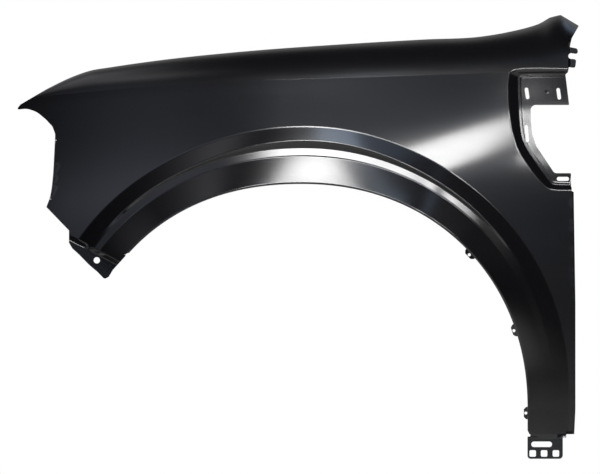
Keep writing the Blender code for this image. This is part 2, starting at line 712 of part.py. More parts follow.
class Plan:
    """The flat blank being laid out: points with the sides that must stay."""

    def __init__(self, outline, cuts):
        self.outline = outline
        self.cuts = cuts
        self.points = []
        self.sides = []
        for loop in [outline] + cuts:
            first = len(self.points)
            self.points += loop
            count = len(loop)
            self.sides += [(first + i, first + (i + 1) % count) for i in range(count)]

    def clear(self, xz, gap):
        """Which points are on the sheet and away from every trimmed edge."""
        x = np.array([p[0] for p in xz])
        z = np.array([p[1] for p in xz])
        keep = inside(x, z, self.outline)
        keep &= distance(x, z, self.outline + self.outline[:1]) > gap
        for cut in self.cuts:
            keep &= ~inside(x, z, cut)
            keep &= distance(x, z, cut + cut[:1]) > min(gap, 1.4)
        return keep

    def add_row(self, row, gap):
        keep = self.clear(row, gap)
        last = None
        for point, good in zip(row, keep):
            if not good:
                last = None
                continue
            self.points.append(point)
            if last is not None:
                self.sides.append((last, len(self.points) - 1))
            last = len(self.points) - 1

    def add_field(self, pitch, gap):
        """Fill the open areas with an even lattice of points."""
        known = np.array(self.points)
        lattice = []
        z = -90.0
        row = 0
        while z < 760.0:
            shift = pitch * 0.5 * (row % 2)
            lattice += [(x + shift, z) for x in np.arange(-540.0, 530.0, pitch)]
            z += pitch * 0.87
            row += 1
        keep = self.clear(lattice, gap)
        for point, good in zip(lattice, keep):
            if good and np.min(np.hypot(known[:, 0] - point[0], known[:, 1] - point[1])) > gap:
                self.points.append(point)

    def triangles(self):
        flat = [Vector(p) for p in self.points]
        result = delaunay_2d_cdt(flat, self.sides, [], 0, 1e-4)
        points = [(p.x, p.y) for p in result[0]]
        faces = result[2]
        cx = np.array([sum(points[i][0] for i in f) / 3.0 for f in faces])
        cz = np.array([sum(points[i][1] for i in f) / 3.0 for f in faces])
        keep = inside(cx, cz, self.outline)
        for cut in self.cuts:
            keep &= ~inside(cx, cz, cut)
        return points, [f for f, good in zip(faces, keep) if good]


def blank():
    """Mesh the flat blank; returns its points and triangles."""
    plan = Plan(blank_outline(), holes())
    for row in feature_rows():
        plan.add_row(row, 0.9)
    plan.add_field(FIELD_STEP, FIELD_GAP)
    return plan.triangles()


def pressed_sheet():
    """Press and fold the blank into a mesh of the outer face."""
    points, faces = blank()
    mesh = bpy.data.meshes.new("fender_panel")
    bm = bmesh.new()
    flat = np.array(points)
    places = (fold(flat[:, 0], flat[:, 1]) - origin()) * MM
    verts = [bm.verts.new(place) for place in places]
    for face in faces:
        bm.faces.new([verts[i] for i in face])
    loose = [v for v in bm.verts if not v.link_faces]
    bmesh.ops.delete(bm, geom=loose, context="VERTS")
    bm.normal_update()
    lean = sum(f.normal.y * f.calc_area() for f in bm.faces)
    if lean > 0.0:
        bmesh.ops.reverse_faces(bm, faces=bm.faces)
    for face in bm.faces:
        face.smooth = True
    bm.to_mesh(mesh)
    bm.free()
    return mesh


def e_coat():
    """Black primer dipped over the whole pressing."""
    material = bpy.data.materials.new("black_e_coat")
    material.use_nodes = True
    shader = material.node_tree.nodes["Principled BSDF"]
    shader.inputs["Base Color"].default_value = (0.012, 0.012, 0.014, 1.0)
    shader.inputs["Roughness"].default_value = 0.32
    return material


def main():
    for thing in list(bpy.data.objects):
        bpy.data.objects.remove(thing, do_unlink=True)
    set_levels()
    panel = bpy.data.objects.new("fender_panel", pressed_sheet())
    bpy.context.scene.collection.objects.link(panel)
    panel.data.materials.append(e_coat())
    sheet = panel.modifiers.new("sheet", "SOLIDIFY")
    sheet.thickness = SHEET * MM
    sheet.offset = -1.0
    sheet.use_even_offset = True
    sheet.use_quality_normals = True


main()
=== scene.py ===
# %% [markdown]
# # A pressed fender in black primer
# A fender is one sheet of steel, 0.8 mm thick. A press gives it its skin, and
# its edges are folded inboard for stiffness and for the screws that hold it.
# The fixed frame already holds that sheet as a coarse solid. This lesson makes
# the fine sheet that stands for it, then its finish, the studio and the camera.
# The frame is loaded first, because every piece is placed in its metres.

# %% Load the frame
import math

import bpy
import numpy as np
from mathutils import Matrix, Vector
from mathutils.geometry import delaunay_2d_cdt


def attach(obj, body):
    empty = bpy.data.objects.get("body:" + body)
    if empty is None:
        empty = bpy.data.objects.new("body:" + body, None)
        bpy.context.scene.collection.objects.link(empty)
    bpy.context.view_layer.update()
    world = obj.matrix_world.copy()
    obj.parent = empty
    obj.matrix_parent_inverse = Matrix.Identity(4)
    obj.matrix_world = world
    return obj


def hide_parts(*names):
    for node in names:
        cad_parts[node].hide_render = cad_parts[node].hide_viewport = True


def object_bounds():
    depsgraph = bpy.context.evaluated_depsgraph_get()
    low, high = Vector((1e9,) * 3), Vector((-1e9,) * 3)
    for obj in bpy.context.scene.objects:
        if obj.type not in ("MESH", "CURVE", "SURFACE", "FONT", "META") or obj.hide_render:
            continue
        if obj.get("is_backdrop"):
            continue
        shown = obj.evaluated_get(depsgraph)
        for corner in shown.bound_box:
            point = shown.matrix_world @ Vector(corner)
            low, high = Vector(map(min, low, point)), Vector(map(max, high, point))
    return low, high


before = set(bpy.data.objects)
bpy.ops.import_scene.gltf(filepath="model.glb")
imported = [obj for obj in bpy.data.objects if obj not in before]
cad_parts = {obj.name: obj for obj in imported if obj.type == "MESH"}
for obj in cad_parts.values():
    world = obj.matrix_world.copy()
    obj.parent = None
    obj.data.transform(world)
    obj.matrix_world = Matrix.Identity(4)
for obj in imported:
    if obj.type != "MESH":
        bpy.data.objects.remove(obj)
cad_low, cad_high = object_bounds()
print("frame nodes:", sorted(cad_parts))
print("box in metres:", [round(v, 4) for v in cad_high - cad_low])

# %% [markdown]
# ## Driving sizes
# The real panel is drawn in millimetres from the wheel centre, with X to the
# rear and Z up. The same drawing is used here, so that the fine sheet lies
# where the solid lies. Each size has a name, and is written once.
# A mesh could also be refined from the coarse solid, but subdividing flat
# facets keeps their corners, and a glossy black skin shows every one of them.

# %% Sizes of the sheet, the wheel arch and the flare
MM = 0.001
SHEET = 0.8
ARCH_HALF_WIDTH = 426.4
ARCH_HEIGHT = 425.0
ARCH_POWER_FRONT = 2.19
ARCH_POWER_REAR = 2.13
# Rows of the flare: distance outside the lip, how far both ends draw in, and
# the share of the extra width at the crown.
FLARE_ROWS = (
    (48.0, 4.0, 0.28),  # band
    (60.0, 4.0, 0.50),  # shelf
    (66.0, 4.5, 1.00),  # crest
    (95.0, 6.0, 0.86),  # crease
)
CROWN_EXTRA = 14.0
CROWN_ANGLE = 88.0
FLARE_SPAN = (-10.0, 150.0)
FLARE_GROWS = (8.0, 48.0)
STEP_GROWS = (29.0, 45.0)
STEP_DIES = (126.0, 142.0)
FLARE_SLOPE = 0.46
STEP_SLOPE = -0.72
SHELF_SLOPE = 0.30
SHELF_EXTRA = 0.2
SHELF_EASES = (46.0, 60.0)
BAND_SLOPE = 0.38
LOW_FLANK, LOW_SHELF, LOW_BAND = 0.16, 0.14, 0.12
FLANK_RAKE = 0.24
print("wheel arch half width:", ARCH_HALF_WIDTH, "mm")

# %% Sizes of the outer skin
NOSE_WRAP = 92.0
NOSE_POWER = 2.1
NOSE_START, NOSE_END = -30.0, -534.0
TAIL_TAPER = 22.0
TAIL_START, TAIL_END = 0.0, 516.0
CROWN_LEAST = 8.0
BODY_LEAN = 0.04
CROWN_LEAN = 0.45
CROWN_ROLL = 0.56
HAUNCH_X = 384.0
HAUNCH_SLOPE = 0.32
HAUNCH_WIDTH = 30.0
HAUNCH_REACH = 96.0
HAUNCH_DROP = 102.0
HAUNCH_RAKE = 0.44
HAUNCH_SPREAD = 0.17
TUCK_UNDER = 0.03
TUCK_FROM = 200.0
POCKET_DEPTH = 11.0
SHOULDER_SOFT = 0.01
CREASE_SOFT = 1.5
STEP_SOFT = 1.1
LINE_SOFT = 0.8
LINE_DROP = 0.9
LINE_WIDTH = 3.0
POCKET_SOFT = 2.1
FOOT_BEAD = 0.055
FOOT_BEAD_AT = 3.2
FOOT_BEAD_WIDTH = 2.2
print("nose wrap:", NOSE_WRAP, "mm")

# %% Sizes of the folds, the tabs and the holes
BEND = 3.0
RELIEF = 0.5
LIP_FLANGE = 17.0
LIP_LEAN = 12.0
DOOR_FLANGE = 11.0
LAMP_FLANGE = 8.0
GUTTER_DEPTH = 14.0
LEDGE_WIDTH = 24.0
SEAT_X = 96.0
SEAT_LENGTH = 66.0
SEAT_HOLE_AHEAD = 22.0
EAR_ANGLES = (42.6, 20.3, -0.9)
EAR_WIDTH = 26.0
EAR_REACH = 7.5
EAR_LEAD = 0.22
EAR_HOLE = 5.5
SILL_JOGGLE = 3.0
FORK_JOGGLE = 3.0
CHIN_JOGGLE = 2.0
SILL_STEP = (46.0, 56.0)
FORK_STEPS = ((502.0, 507.0), (637.0, 641.0), (682.0, 690.0))
CHIN_STEP = (0.0, 12.0)
CHIN_CORNER = (-435.0, 330.0)
CHIN_TURN = (0.887, 0.463)
SLOT_WIDTH = 6.8
SLOT_LENGTH = 21.8
SILL_SLOT = (39.0, 10.3)
SQUARE_HOLE = 12.2
CHIN_HOLE = 11.8
LEDGE_HOLE = 9.0
LEDGE_HOLES_X = (-430.0, -250.0, -80.0, SEAT_X - SEAT_HOLE_AHEAD, 250.0, 410.0)
HOOD_FROM = -488.0
HOOD_TO = 468.0
LIP_FROM_Z = -46.4
LIP_TO_ANGLE = 138.6
DOOR_LOW = LIP_FROM_Z
DOOR_TOP = 409.0
LAMP_LOW = 396.0
LAMP_HIGH = 506.0
print("rail seat:", SEAT_LENGTH, "by", LEDGE_WIDTH, "mm")

# %% [markdown]
# The fine sheet is meshed closer than the solid. The steps below set the size
# of its triangles: about a tenth of a hand's width on the open skin, and under
# a millimetre round the holes and corners. The gaps keep points apart.

# %% Spacing of the fine mesh
ARCH_STEP = 0.95
ARCH_FROM, ARCH_TO = -6.2, 148.0
ROW_STEP = 7.0
ROW_GAP = 0.45
HOLE_GAP = 1.4
SHOULDER_FROM, SHOULDER_TO = -520.0, 500.0
FIELD_STEP = 9.0
FIELD_GAP = 4.0
FIELD_X = (-540.0, 530.0)
FIELD_Z = (-90.0, 760.0)
CORNER_STEP = 0.8
MERGE = 0.0001
PAST_BEND = 0.8
print("open skin is meshed every", FIELD_STEP, "mm")

# %% [markdown]
# ## Lines of the side view
# A body designer draws the edges as smooth curves through a few points. The
# hood edge, the shoulder line, and the rim and foot of the vent's pocket are
# such curves. The cut inside the pocket is an outline with rounded corners.

# %% Control points
HOOD_EDGE = (
    (-528.0, 573.3), (-475.5, 603.5), (-423.0, 628.0), (-396.0, 637.0), (-360.0, 643.0),
    (-265.0, 656.5), (-107.0, 673.0), (77.0, 686.5), (230.0, 695.5), (340.0, 701.2),
    (393.0, 710.2), (445.0, 724.0), (488.0, 743.0), (522.5, 722.0),
)
SHOULDER = (
    (-535.0, 575.0), (-489.0, 587.0), (-408.0, 596.5), (-265.0, 608.5), (-96.0, 618.0),
    (74.0, 623.5), (242.0, 629.5), (402.0, 634.5), (540.0, 637.0),
)
# Height first, because the lamp edge is read by height.
LAMP_EDGE = ((380.7, -478.0), (403.8, -471.0), (433.0, -467.0), (472.5, -464.4), (512.0, -462.5))
POCKET_OUTER = (
    (560.0, 638.3), (402.0, 638.3), (395.0, 634.0), (391.5, 624.0), (390.9, 576.0),
    (395.9, 534.0), (407.8, 492.0), (431.3, 453.6), (454.8, 425.1), (463.0, 418.5),
    (472.0, 414.6), (560.0, 414.0),
)
POCKET_INNER = (
    (560.0, 629.6), (413.0, 629.6), (409.3, 627.6), (407.8, 623.0), (408.2, 590.0),
    (409.5, 571.0), (411.7, 534.0), (417.7, 504.0), (441.2, 465.3), (464.7, 431.8),
    (469.0, 426.4), (475.0, 423.2), (560.0, 422.6),
)
VENT_CUT = (
    (504.2, 572.5, 1.5), (431.5, 572.5, 10.0), (432.0, 540.0, 20.0), (434.5, 517.4, 15.0),
    (442.0, 495.6, 15.0), (476.5, 444.4, 8.0), (507.6, 444.4, 1.5), (507.6, 421.0, 1.5),
)
print("hood edge runs through", len(HOOD_EDGE), "points")

# %% Helpers for soft corners and curves
def ramp(x, r):
    """A slope of one that starts at zero, its corner rounded over -r..r."""
    x = np.asarray(x, float)
    return np.where(x <= -r, 0.0, np.where(x >= r, x, (x + r) ** 2 / (4.0 * r)))


def ease(x, low, high):
    """Zero below low, one above high, smooth between."""
    t = np.clip((np.asarray(x, float) - low) / (high - low), 0.0, 1.0)
    return t * t * (3.0 - 2.0 * t)


def follow(points, x):
    """Read a smooth curve through control points at the places x."""
    px, pz = np.array(points).T
    slope = np.gradient(pz, px)
    x = np.clip(np.asarray(x, float), px[0], px[-1])
    i = np.clip(np.searchsorted(px, x) - 1, 0, len(px) - 2)
    span = px[i + 1] - px[i]
    t = (x - px[i]) / span
    h00 = 2 * t ** 3 - 3 * t ** 2 + 1
    h10 = t ** 3 - 2 * t ** 2 + t
    h01 = 3 * t ** 2 - 2 * t ** 3
    h11 = t ** 3 - t ** 2
    return h00 * pz[i] + h10 * span * slope[i] + h01 * pz[i + 1] + h11 * span * slope[i + 1]


def smooth_line(line, cuts=5):
    """A smooth curve through the points of an open line."""
    out = [line[0]]
    for i in range(len(line) - 1):
        b, c = np.array(line[i]), np.array(line[i + 1])
        a = np.array(line[i - 1]) if i > 0 else 2.0 * b - c
        d = np.array(line[i + 2]) if i + 2 < len(line) else 2.0 * c - b
        before, here, after = (np.linalg.norm(q - p) ** 0.5 for p, q in ((a, b), (b, c), (c, d)))
        leave = here * ((b - a) / before - (c - a) / (before + here)) + (c - b)
        arrive = (c - b) - here * ((d - b) / (here + after) - (d - c) / after)
        for k in range(1, cuts + 1):
            s = k / cuts
            spot = (1.0 - s) ** 2 * ((1.0 + 2.0 * s) * b + s * leave)
            spot = spot + s * s * ((3.0 - 2.0 * s) * c - (1.0 - s) * arrive)
            out.append((float(spot[0]), float(spot[1])))
    return out


POCKET_RIM = smooth_line(POCKET_OUTER)
POCKET_FOOT = smooth_line(POCKET_INNER)
# Outside these limits the skin has no pocket, and no distances are worked out.
POCKET_FROM_X = 370.0
POCKET_FROM_Z, POCKET_TO_Z = 395.0, 655.0
print("a soft corner at its middle:", float(ramp(0.0, 2.0)))

# %% Edges of the side view
def hood_z(x):
    return follow(HOOD_EDGE, x)


def shoulder_z(x):
    return follow(SHOULDER, x)


def door_x(z):
    return np.interp(z, (-46.0, 0.0, 200.0, 413.0), (513.8, 516.0, 516.0, 512.7))


def lamp_x(z):
    return follow(LAMP_EDGE, z)


print("hood edge over the wheel:", round(float(hood_z(0.0)), 1), "mm")

# %% [markdown]
# ## Wheel arch and flare
# The arch is a rounded ellipse. Distances outside its lip and angles round it
# give every place on the flare an address, so that the step which carries the
# cladding edge runs round the arch as it does on the real panel.
# A sweep along a curve could make it too, but a height that is added to the
# skin blends into the body by itself, with no seam to hide.

# %% The arch
def lip_radius(a):
    power = np.where(np.cos(a) < 0.0, ARCH_POWER_FRONT, ARCH_POWER_REAR)
    c = (np.abs(np.cos(a)) / ARCH_HALF_WIDTH) ** power
    s = (np.abs(np.sin(a)) / ARCH_HEIGHT) ** power
    return (c + s) ** (-1.0 / power)


def arch_place(x, z):
    """Distance outside the lip, and the angle round the arch in degrees."""
    x, z = np.asarray((x, z), float)
    low = (z < 0.0) & (x > 0.0)
    a = np.where(low, 0.0, np.arctan2(z, x))
    u = np.where(low, x - ARCH_HALF_WIDTH, np.hypot(x, z) - lip_radius(a))
    return u, np.degrees(a)


def arch_point(angle, u):
    """Point of the side view at an angle in degrees and a distance outside the lip."""
    if angle < 0.0:
        drop = math.tan(math.radians(angle)) * ARCH_HALF_WIDTH
        return (ARCH_HALF_WIDTH + u, drop)
    a = math.radians(angle)
    r = float(lip_radius(a)) + u
    return (r * math.cos(a), r * math.sin(a))


print("lip over the wheel:", round(float(lip_radius(math.pi / 2.0)), 1), "mm")

# %% The flare
def flare_rows(angle):
    """Distances of band, shelf, crest and crease outside the lip, at an angle round the arch."""
    q = ((angle - CROWN_ANGLE) / 50.0) ** 2
    g = np.exp(-((angle - CROWN_ANGLE) / 22.0) ** 2)
    return [at - draw * q + share * CROWN_EXTRA * g for at, draw, share in FLARE_ROWS]


def flare(u, angle):
    """Outward swell of the flare, with the step that a cladding edge sits in."""
    band, shelf, crest, crease = flare_rows(np.clip(angle, *FLARE_SPAN))
    deep = ease(angle, *STEP_GROWS) * (1.0 - ease(angle, *STEP_DIES))
    rear = ease(angle, *FLARE_GROWS)
    rake = FLANK_RAKE * (1.0 - np.exp(-((angle - 87.0) / 18.0) ** 2))
    shelf_slope = SHELF_SLOPE * (1.0 + SHELF_EXTRA * (1.0 - ease(angle, *SHELF_EASES)))
    s1 = LOW_FLANK + (FLARE_SLOPE + rake - LOW_FLANK) * rear
    s2 = s1 + (STEP_SLOPE - s1) * deep
    s3 = LOW_SHELF + (shelf_slope - LOW_SHELF) * rear
    s4 = LOW_BAND + (BAND_SLOPE + rake - LOW_BAND) * rear
    out = s1 * ramp(crease - u, CREASE_SOFT)
    out += (s2 - s1) * ramp(crest - u, STEP_SOFT)
    out += (s3 - s2) * ramp(shelf - u, STEP_SOFT)
    out += (s4 - s3) * ramp(band - u, LINE_SOFT)
    out -= LINE_DROP * deep * (1.0 - ease(u, band - LINE_WIDTH / 2.0, band + LINE_WIDTH / 2.0))
    return out


print("swell at the lip over the wheel:", round(float(flare(0.0, 90.0)), 1), "mm")

# %% [markdown]
# ## Pocket and haunch
# The vent sits in a pocket, pressed back from the skin with a soft wall all
# round. The haunch is the swell behind the wheel that catches the long streak
# of light. Both are heights too, worked out from distances in the side view.
# The shoulder crease is struck sharp by the press. The solid needs a soft one
# for its wide facets, and the fine sheet can have it as tight as it really is.

# %% Distances, and the pocket
def distance(x, z, line):
    """Shortest distance from points to an open line."""
    best = np.full(np.shape(x), 1e9)
    for (ax, az), (bx, bz) in zip(line[:-1], line[1:]):
        dx, dz = bx - ax, bz - az
        t = np.clip(((x - ax) * dx + (z - az) * dz) / (dx * dx + dz * dz), 0.0, 1.0)
        best = np.minimum(best, np.hypot(x - ax - t * dx, z - az - t * dz))
    return best


def inside(x, z, loop):
    """Which points lie inside a closed loop."""
    hit = np.zeros(np.shape(x), bool)
    for (ax, az), (bx, bz) in zip(loop, loop[1:] + loop[:1]):
        if az == bz:
            continue
        crosses = (az > z) != (bz > z)
        hit ^= crosses & (x < ax + (z - az) * (bx - ax) / (bz - az))
    return hit


def pocket(x, z):
    """Share of the vent pocket's depth, zero on the skin and one on its floor."""
    x, z = np.asarray((x, z), float)
    if np.all((x < POCKET_FROM_X) | (z < POCKET_FROM_Z) | (z > POCKET_TO_Z)):
        return np.zeros(np.shape(x))
    d_out = np.where(inside(x, z, POCKET_RIM), 1.0, -1.0) * distance(x, z, POCKET_RIM)
    d_in = np.where(inside(x, z, POCKET_FOOT), -1.0, 1.0) * distance(x, z, POCKET_FOOT)
    width = np.maximum(d_out + d_in, 1.0)
    share = ramp(d_out, POCKET_SOFT) - ramp(-d_in, POCKET_SOFT)
    bead = np.exp(-((-d_in - FOOT_BEAD_AT) / FOOT_BEAD_WIDTH) ** 2)
    return np.clip(share / width, 0.0, 1.0) - FOOT_BEAD * bead


print("share of the depth on the pocket's floor:", float(pocket(440.0, 590.0)))

# %% The haunch and the whole skin
def haunch(x, z):
    """Swell of the body over the wheel, lower and softer towards the front."""
    ahead = np.clip(HAUNCH_X - x, -20.0, 400.0)
    upper = HAUNCH_WIDTH + HAUNCH_SPREAD * ahead
    lower = np.maximum(HAUNCH_REACH - upper, HAUNCH_WIDTH)
    below = shoulder_z(x) - z - HAUNCH_DROP - HAUNCH_RAKE * ahead
    width = np.where(below < 0.0, upper, lower)
    return HAUNCH_SLOPE * (upper + width * np.tanh(below / width))


def smooth_skin(x, z):
    """How far the skin stands outboard before its tabs are set back."""
    x, z = np.asarray((x, z), float)
    u, angle = arch_place(x, z)
    zs = shoulder_z(x)
    height = np.maximum(hood_z(x) - zs, CROWN_LEAST)
    nose = np.maximum((NOSE_START - x) / (NOSE_START - NOSE_END), 0.0)
    tail = np.maximum((x - TAIL_START) / (TAIL_END - TAIL_START), 0.0)
    out = -NOSE_WRAP * nose ** NOSE_POWER - TAIL_TAPER * tail ** 2
    t = ramp(z - zs, SHOULDER_SOFT) / height
    out = out - height * (CROWN_LEAN * t + CROWN_ROLL * t ** 3)
    out = out + BODY_LEAN * ramp(zs - z, 20.0) * (1.0 - ease(x, -100.0, 330.0))
    out = out - TUCK_UNDER * ramp(TUCK_FROM - z, 90.0)
    crease = flare_rows(np.clip(angle, *FLARE_SPAN))[3]
    lift = np.maximum(crease - u, 0.0)
    turn = np.where(angle <= 0.0, 0.0, np.radians(angle))
    out = out + haunch(x + lift * np.cos(turn), z + lift * np.sin(turn))
    out = out + flare(u, angle)
    return out - POCKET_DEPTH * pocket(x, z)


SILL_LEVEL = float(smooth_skin(470.0, -40.0)) - SILL_JOGGLE
FORK_LEVEL = float(smooth_skin(490.0, 662.0)) - FORK_JOGGLE
CHIN_LEVEL = float(smooth_skin(-392.0, 310.0)) - CHIN_JOGGLE


def chin_depth(x, z):
    """Distance past the bend line of the lower front tab."""
    return ((x - CHIN_CORNER[0]) * -47.0 + (z - CHIN_CORNER[1]) * -90.0) / 101.5


def skin(x, z):
    """How far the skin stands outboard, with each tab set back to a flat of its own."""
    out = smooth_skin(x, z)
    sill = ease(-z, *SILL_STEP)
    out = out + sill * (SILL_LEVEL - out)
    root, foot, head = FORK_STEPS
    fork = ease(x, *root) * ease(z, *foot) * (1.0 - ease(z, *head))
    out = out + fork * (FORK_LEVEL - out)
    chin = ease(chin_depth(x, z), *CHIN_STEP)
    return out + chin * (CHIN_LEVEL - out)


print("skin behind the wheel stands out by", round(float(skin(300.0, 480.0)), 1), "mm")

# %% [markdown]
# ## Folds
# A folder bends the flat blank over a die. Each fold below does the same: it
# walks along the section of the bend, an arc and then a straight flange, and
# keeps every length of the blank. The hood edge rolls over, drops as a gutter
# wall and turns in as the ledge that lies on the body's rail.

# %% Walking along a bend
def walk(q, heading, legs):
    """Walk a length q along a folded section; legs are (length, turn) pairs."""
    a = 0.0
    b = 0.0
    for length, turn in legs:
        go = np.clip(q, 0.0, length)
        half = turn * go / length / 2.0
        chord = go * np.sinc(half / math.pi)
        a = a + chord * np.cos(heading + half)
        b = b + chord * np.sin(heading + half)
        heading = heading + 2.0 * half
        q = q - length
    return a, b


QUARTER = math.pi / 2.0
FAR = 300.0
BEND_LENGTH = BEND * QUARTER
LIP_TURN = QUARTER + math.radians(LIP_LEAN)
LIP_BEND = BEND * LIP_TURN
LIP_END = LIP_BEND + LIP_FLANGE
EAR_START = LIP_END + LIP_BEND
EAR_END = EAR_START + EAR_REACH
DOOR_END = BEND_LENGTH + DOOR_FLANGE
LAMP_END = BEND_LENGTH + LAMP_FLANGE
print("blank length of a square bend:", round(BEND_LENGTH, 2), "mm")

# %% The hood gutter and its ledge
def hood_heading(x):
    """Lean of the skin where it meets the hood edge."""
    z = hood_z(x)
    return np.arctan2(1.0, skin(x, z - 1.0) - skin(x, z))


def gutter_top(x):
    """Height at which the gutter wall begins, under the rolled edge."""
    return hood_z(x) - BEND * np.cos(hood_heading(x))


def hood_section(x):
    """Start, heading, and the lengths of roll and wall at the places x."""
    z = hood_z(x)
    heading = hood_heading(x)
    level = 1.0 - ease(np.abs(x - SEAT_X) - SEAT_LENGTH / 2.0, 0.0, 25.0)
    wall = GUTTER_DEPTH + (gutter_top(x) - gutter_top(SEAT_X)) * level
    return -skin(x, z), z, heading, heading + QUARTER, wall


def spread(low, high, step):
    """Evenly spaced values from low to high, ends included."""
    count = max(1, int(round(abs(high - low) / step)))
    return [low + (high - low) * i / count for i in range(count + 1)]


def hood_stations():
    """Places along the hood edge, with some at the ends of the rail seat."""
    start = SEAT_X - SEAT_LENGTH / 2.0
    end = SEAT_X + SEAT_LENGTH / 2.0
    places = spread(HOOD_FROM, start, ROW_STEP)[:-1]
    places += spread(start, end, ROW_STEP)
    return places + spread(end, HOOD_TO, ROW_STEP)[1:]


def ledge_start(x):
    """Length along the gutter section at which the ledge begins."""
    roll, wall = hood_section(x)[3:]
    return float(BEND * roll + wall + BEND_LENGTH)


def fold_hood(x, s):
    """Roll over at the hood edge, go down the gutter wall and in along the ledge."""
    y, z, heading, roll, wall = hood_section(x)
    legs = ((BEND * roll, -roll), (wall, 0.0), (BEND_LENGTH, QUARTER), (FAR, 0.0))
    a, b = walk(s - z, heading, legs)
    return x, y + a, z + b


print("ledge begins", round(ledge_start(SEAT_X), 1), "mm past the hood edge")

# %% The lip, the door edge and the lamp edge
def fold_lip(x, s):
    """Turn inboard round the wheel arch, and back down into the liner tabs."""
    u, angle = arch_place(x, s)
    low = angle <= 0.0
    turn = np.radians(angle)
    ex = np.where(low, 1.0, np.cos(turn))
    ez = np.where(low, 0.0, np.sin(turn))
    fx = x + ex * (BEND - u)
    fz = s + ez * (BEND - u)
    lean = np.arctan(skin(fx - 0.5 * ex, fz - 0.5 * ez) - skin(fx + 0.5 * ex, fz + 0.5 * ez))
    bend = LIP_TURN + lean
    legs = (
        (BEND * bend, bend), (LIP_FLANGE - BEND * lean, 0.0), (LIP_BEND, -LIP_TURN), (FAR, 0.0),
    )
    a, b = walk(BEND - u, -lean, legs)
    return fx - ex * a, b - skin(fx, fz), fz - ez * a


def fold_side(x, s, edge, way):
    """Turn square inboard at an edge of the side view."""
    a, b = walk(way * (x - edge), 0.0, ((BEND_LENGTH, QUARTER), (FAR, 0.0)))
    return edge + way * a, b - skin(edge, s), s


def fold_zones(x, s):
    """Which points of the blank lie past the bend lines of hood, lip, door and lamp edge."""
    u, angle = arch_place(x, s)
    at_hood = (s > hood_z(x)) & (x > HOOD_FROM - 1.0) & (x < HOOD_TO + 1.0)
    at_lip = (u < BEND) & (s > LIP_FROM_Z - 1.0) & (angle < LIP_TO_ANGLE + 0.075)
    at_door = (x > door_x(s) - BEND) & (s < DOOR_TOP + 0.5)
    at_lamp = (x < lamp_x(s) + BEND) & (s > LAMP_LOW - RELIEF) & (s < LAMP_HIGH + RELIEF)
    return at_hood, at_lip, at_door, at_lamp


def fold(x, s, zones=None):
    """Place points of the flat blank on the folded sheet, in millimetres."""
    x, s = np.asarray((x, s), float)
    spots = np.array([x, -skin(x, s), s])
    door = door_x(s) - BEND
    lamp = lamp_x(s) + BEND
    at_hood, at_lip, at_door, at_lamp = zones or fold_zones(x, s)
    spots[:, at_hood] = fold_hood(x[at_hood], s[at_hood])
    spots[:, at_lip] = fold_lip(x[at_lip], s[at_lip])
    spots[:, at_door] = fold_side(x[at_door], s[at_door], door[at_door], 1.0)
    spots[:, at_lamp] = fold_side(x[at_lamp], s[at_lamp], lamp[at_lamp], -1.0)
    return spots.T


def origin():
    """Middle of the rail seat, on the underside of the ledge."""
    s = float(hood_z(SEAT_X)) + ledge_start(SEAT_X) + LEDGE_WIDTH / 2.0
    return fold(np.array([SEAT_X]), np.array([s]))[0] - np.array([0.0, 0.0, SHEET])


print("rail seat lies at", [round(float(v), 1) for v in origin()], "mm from the wheel centre")

# %% [markdown]
# ## The flat blank
# The blank is cut to its outline and pierced before it is pressed. Drawing it
# flat makes every hole and trimmed corner a plain outline. The mesh is then a
# triangulation that keeps the outline, the holes and the feature rows.

# %% Corners, circles and slots
STRAIGHT = 3.1
SIDE_SHARE = 0.48


def rounded(points, step):
    """Replace each corner (x, z, radius) by an arc; returns (x, z) points."""
    out = []
    for i, (x, z, r) in enumerate(points):
        p = Vector((x, z))
        before = Vector(points[i - 1][:2]) - p
        after = Vector(points[(i + 1) % len(points)][:2]) - p
        turn = before.angle(after) if before.length and after.length else math.pi
        if r <= 0.0 or turn > STRAIGHT:
            out.append((x, z))
            continue
        reach = min(r / math.tan(turn / 2.0), *(SIDE_SHARE * v.length for v in (before, after)))
        r = reach * math.tan(turn / 2.0)
        before.normalize()
        after.normalize()
        a = p + before * reach
        b = p + after * reach
        centre = p + (before + after).normalized() * (r / math.sin(turn / 2.0))
        steps = max(2, int(math.ceil(r * (math.pi - turn) / step)))
        start = math.atan2(a.y - centre.y, a.x - centre.x)
        sweep = math.atan2(b.y - centre.y, b.x - centre.x) - start
        sweep = (sweep + math.pi) % (2.0 * math.pi) - math.pi
        for k in range(steps + 1):
            t = start + sweep * k / steps
            out.append((centre.x + r * math.cos(t), centre.y + r * math.sin(t)))
    return out


def divide(points, step):
    """Add points so that no side of an open line is longer than step."""
    out = [points[0]]
    for a, b in zip(points[:-1], points[1:]):
        count = max(1, int(math.ceil(math.hypot(b[0] - a[0], b[1] - a[1]) / step)))
        for k in range(1, count + 1):
            t = k / count
            out.append((a[0] + (b[0] - a[0]) * t, a[1] + (b[1] - a[1]) * t))
    return out


def circle(x, z, diameter):
    r = diameter / 2.0
    count = max(14, round(math.pi * diameter / CORNER_STEP))
    turns = [2.0 * math.pi * k / count for k in range(count)]
    return [(x + r * math.cos(t), z + r * math.sin(t)) for t in turns]


def slot(x, z, length, width, lean):
    """Slot with round ends, its long axis leaning by an angle from upright."""
    r = width / 2.0
    count = max(8, round(math.pi * r / CORNER_STEP))
    half = length / 2.0 - r
    out = []
    for end in (1.0, -1.0):
        for k in range(count + 1):
            t = math.pi * k / count + (0.0 if end > 0.0 else math.pi)
            px, pz = r * math.cos(t), end * half + r * math.sin(t)
            c, s = math.cos(lean), math.sin(lean)
            out.append((x + px * c + pz * s, z - px * s + pz * c))
    return out


print("a clip hole has", len(circle(0.0, 0.0, LEDGE_HOLE)), "sides")

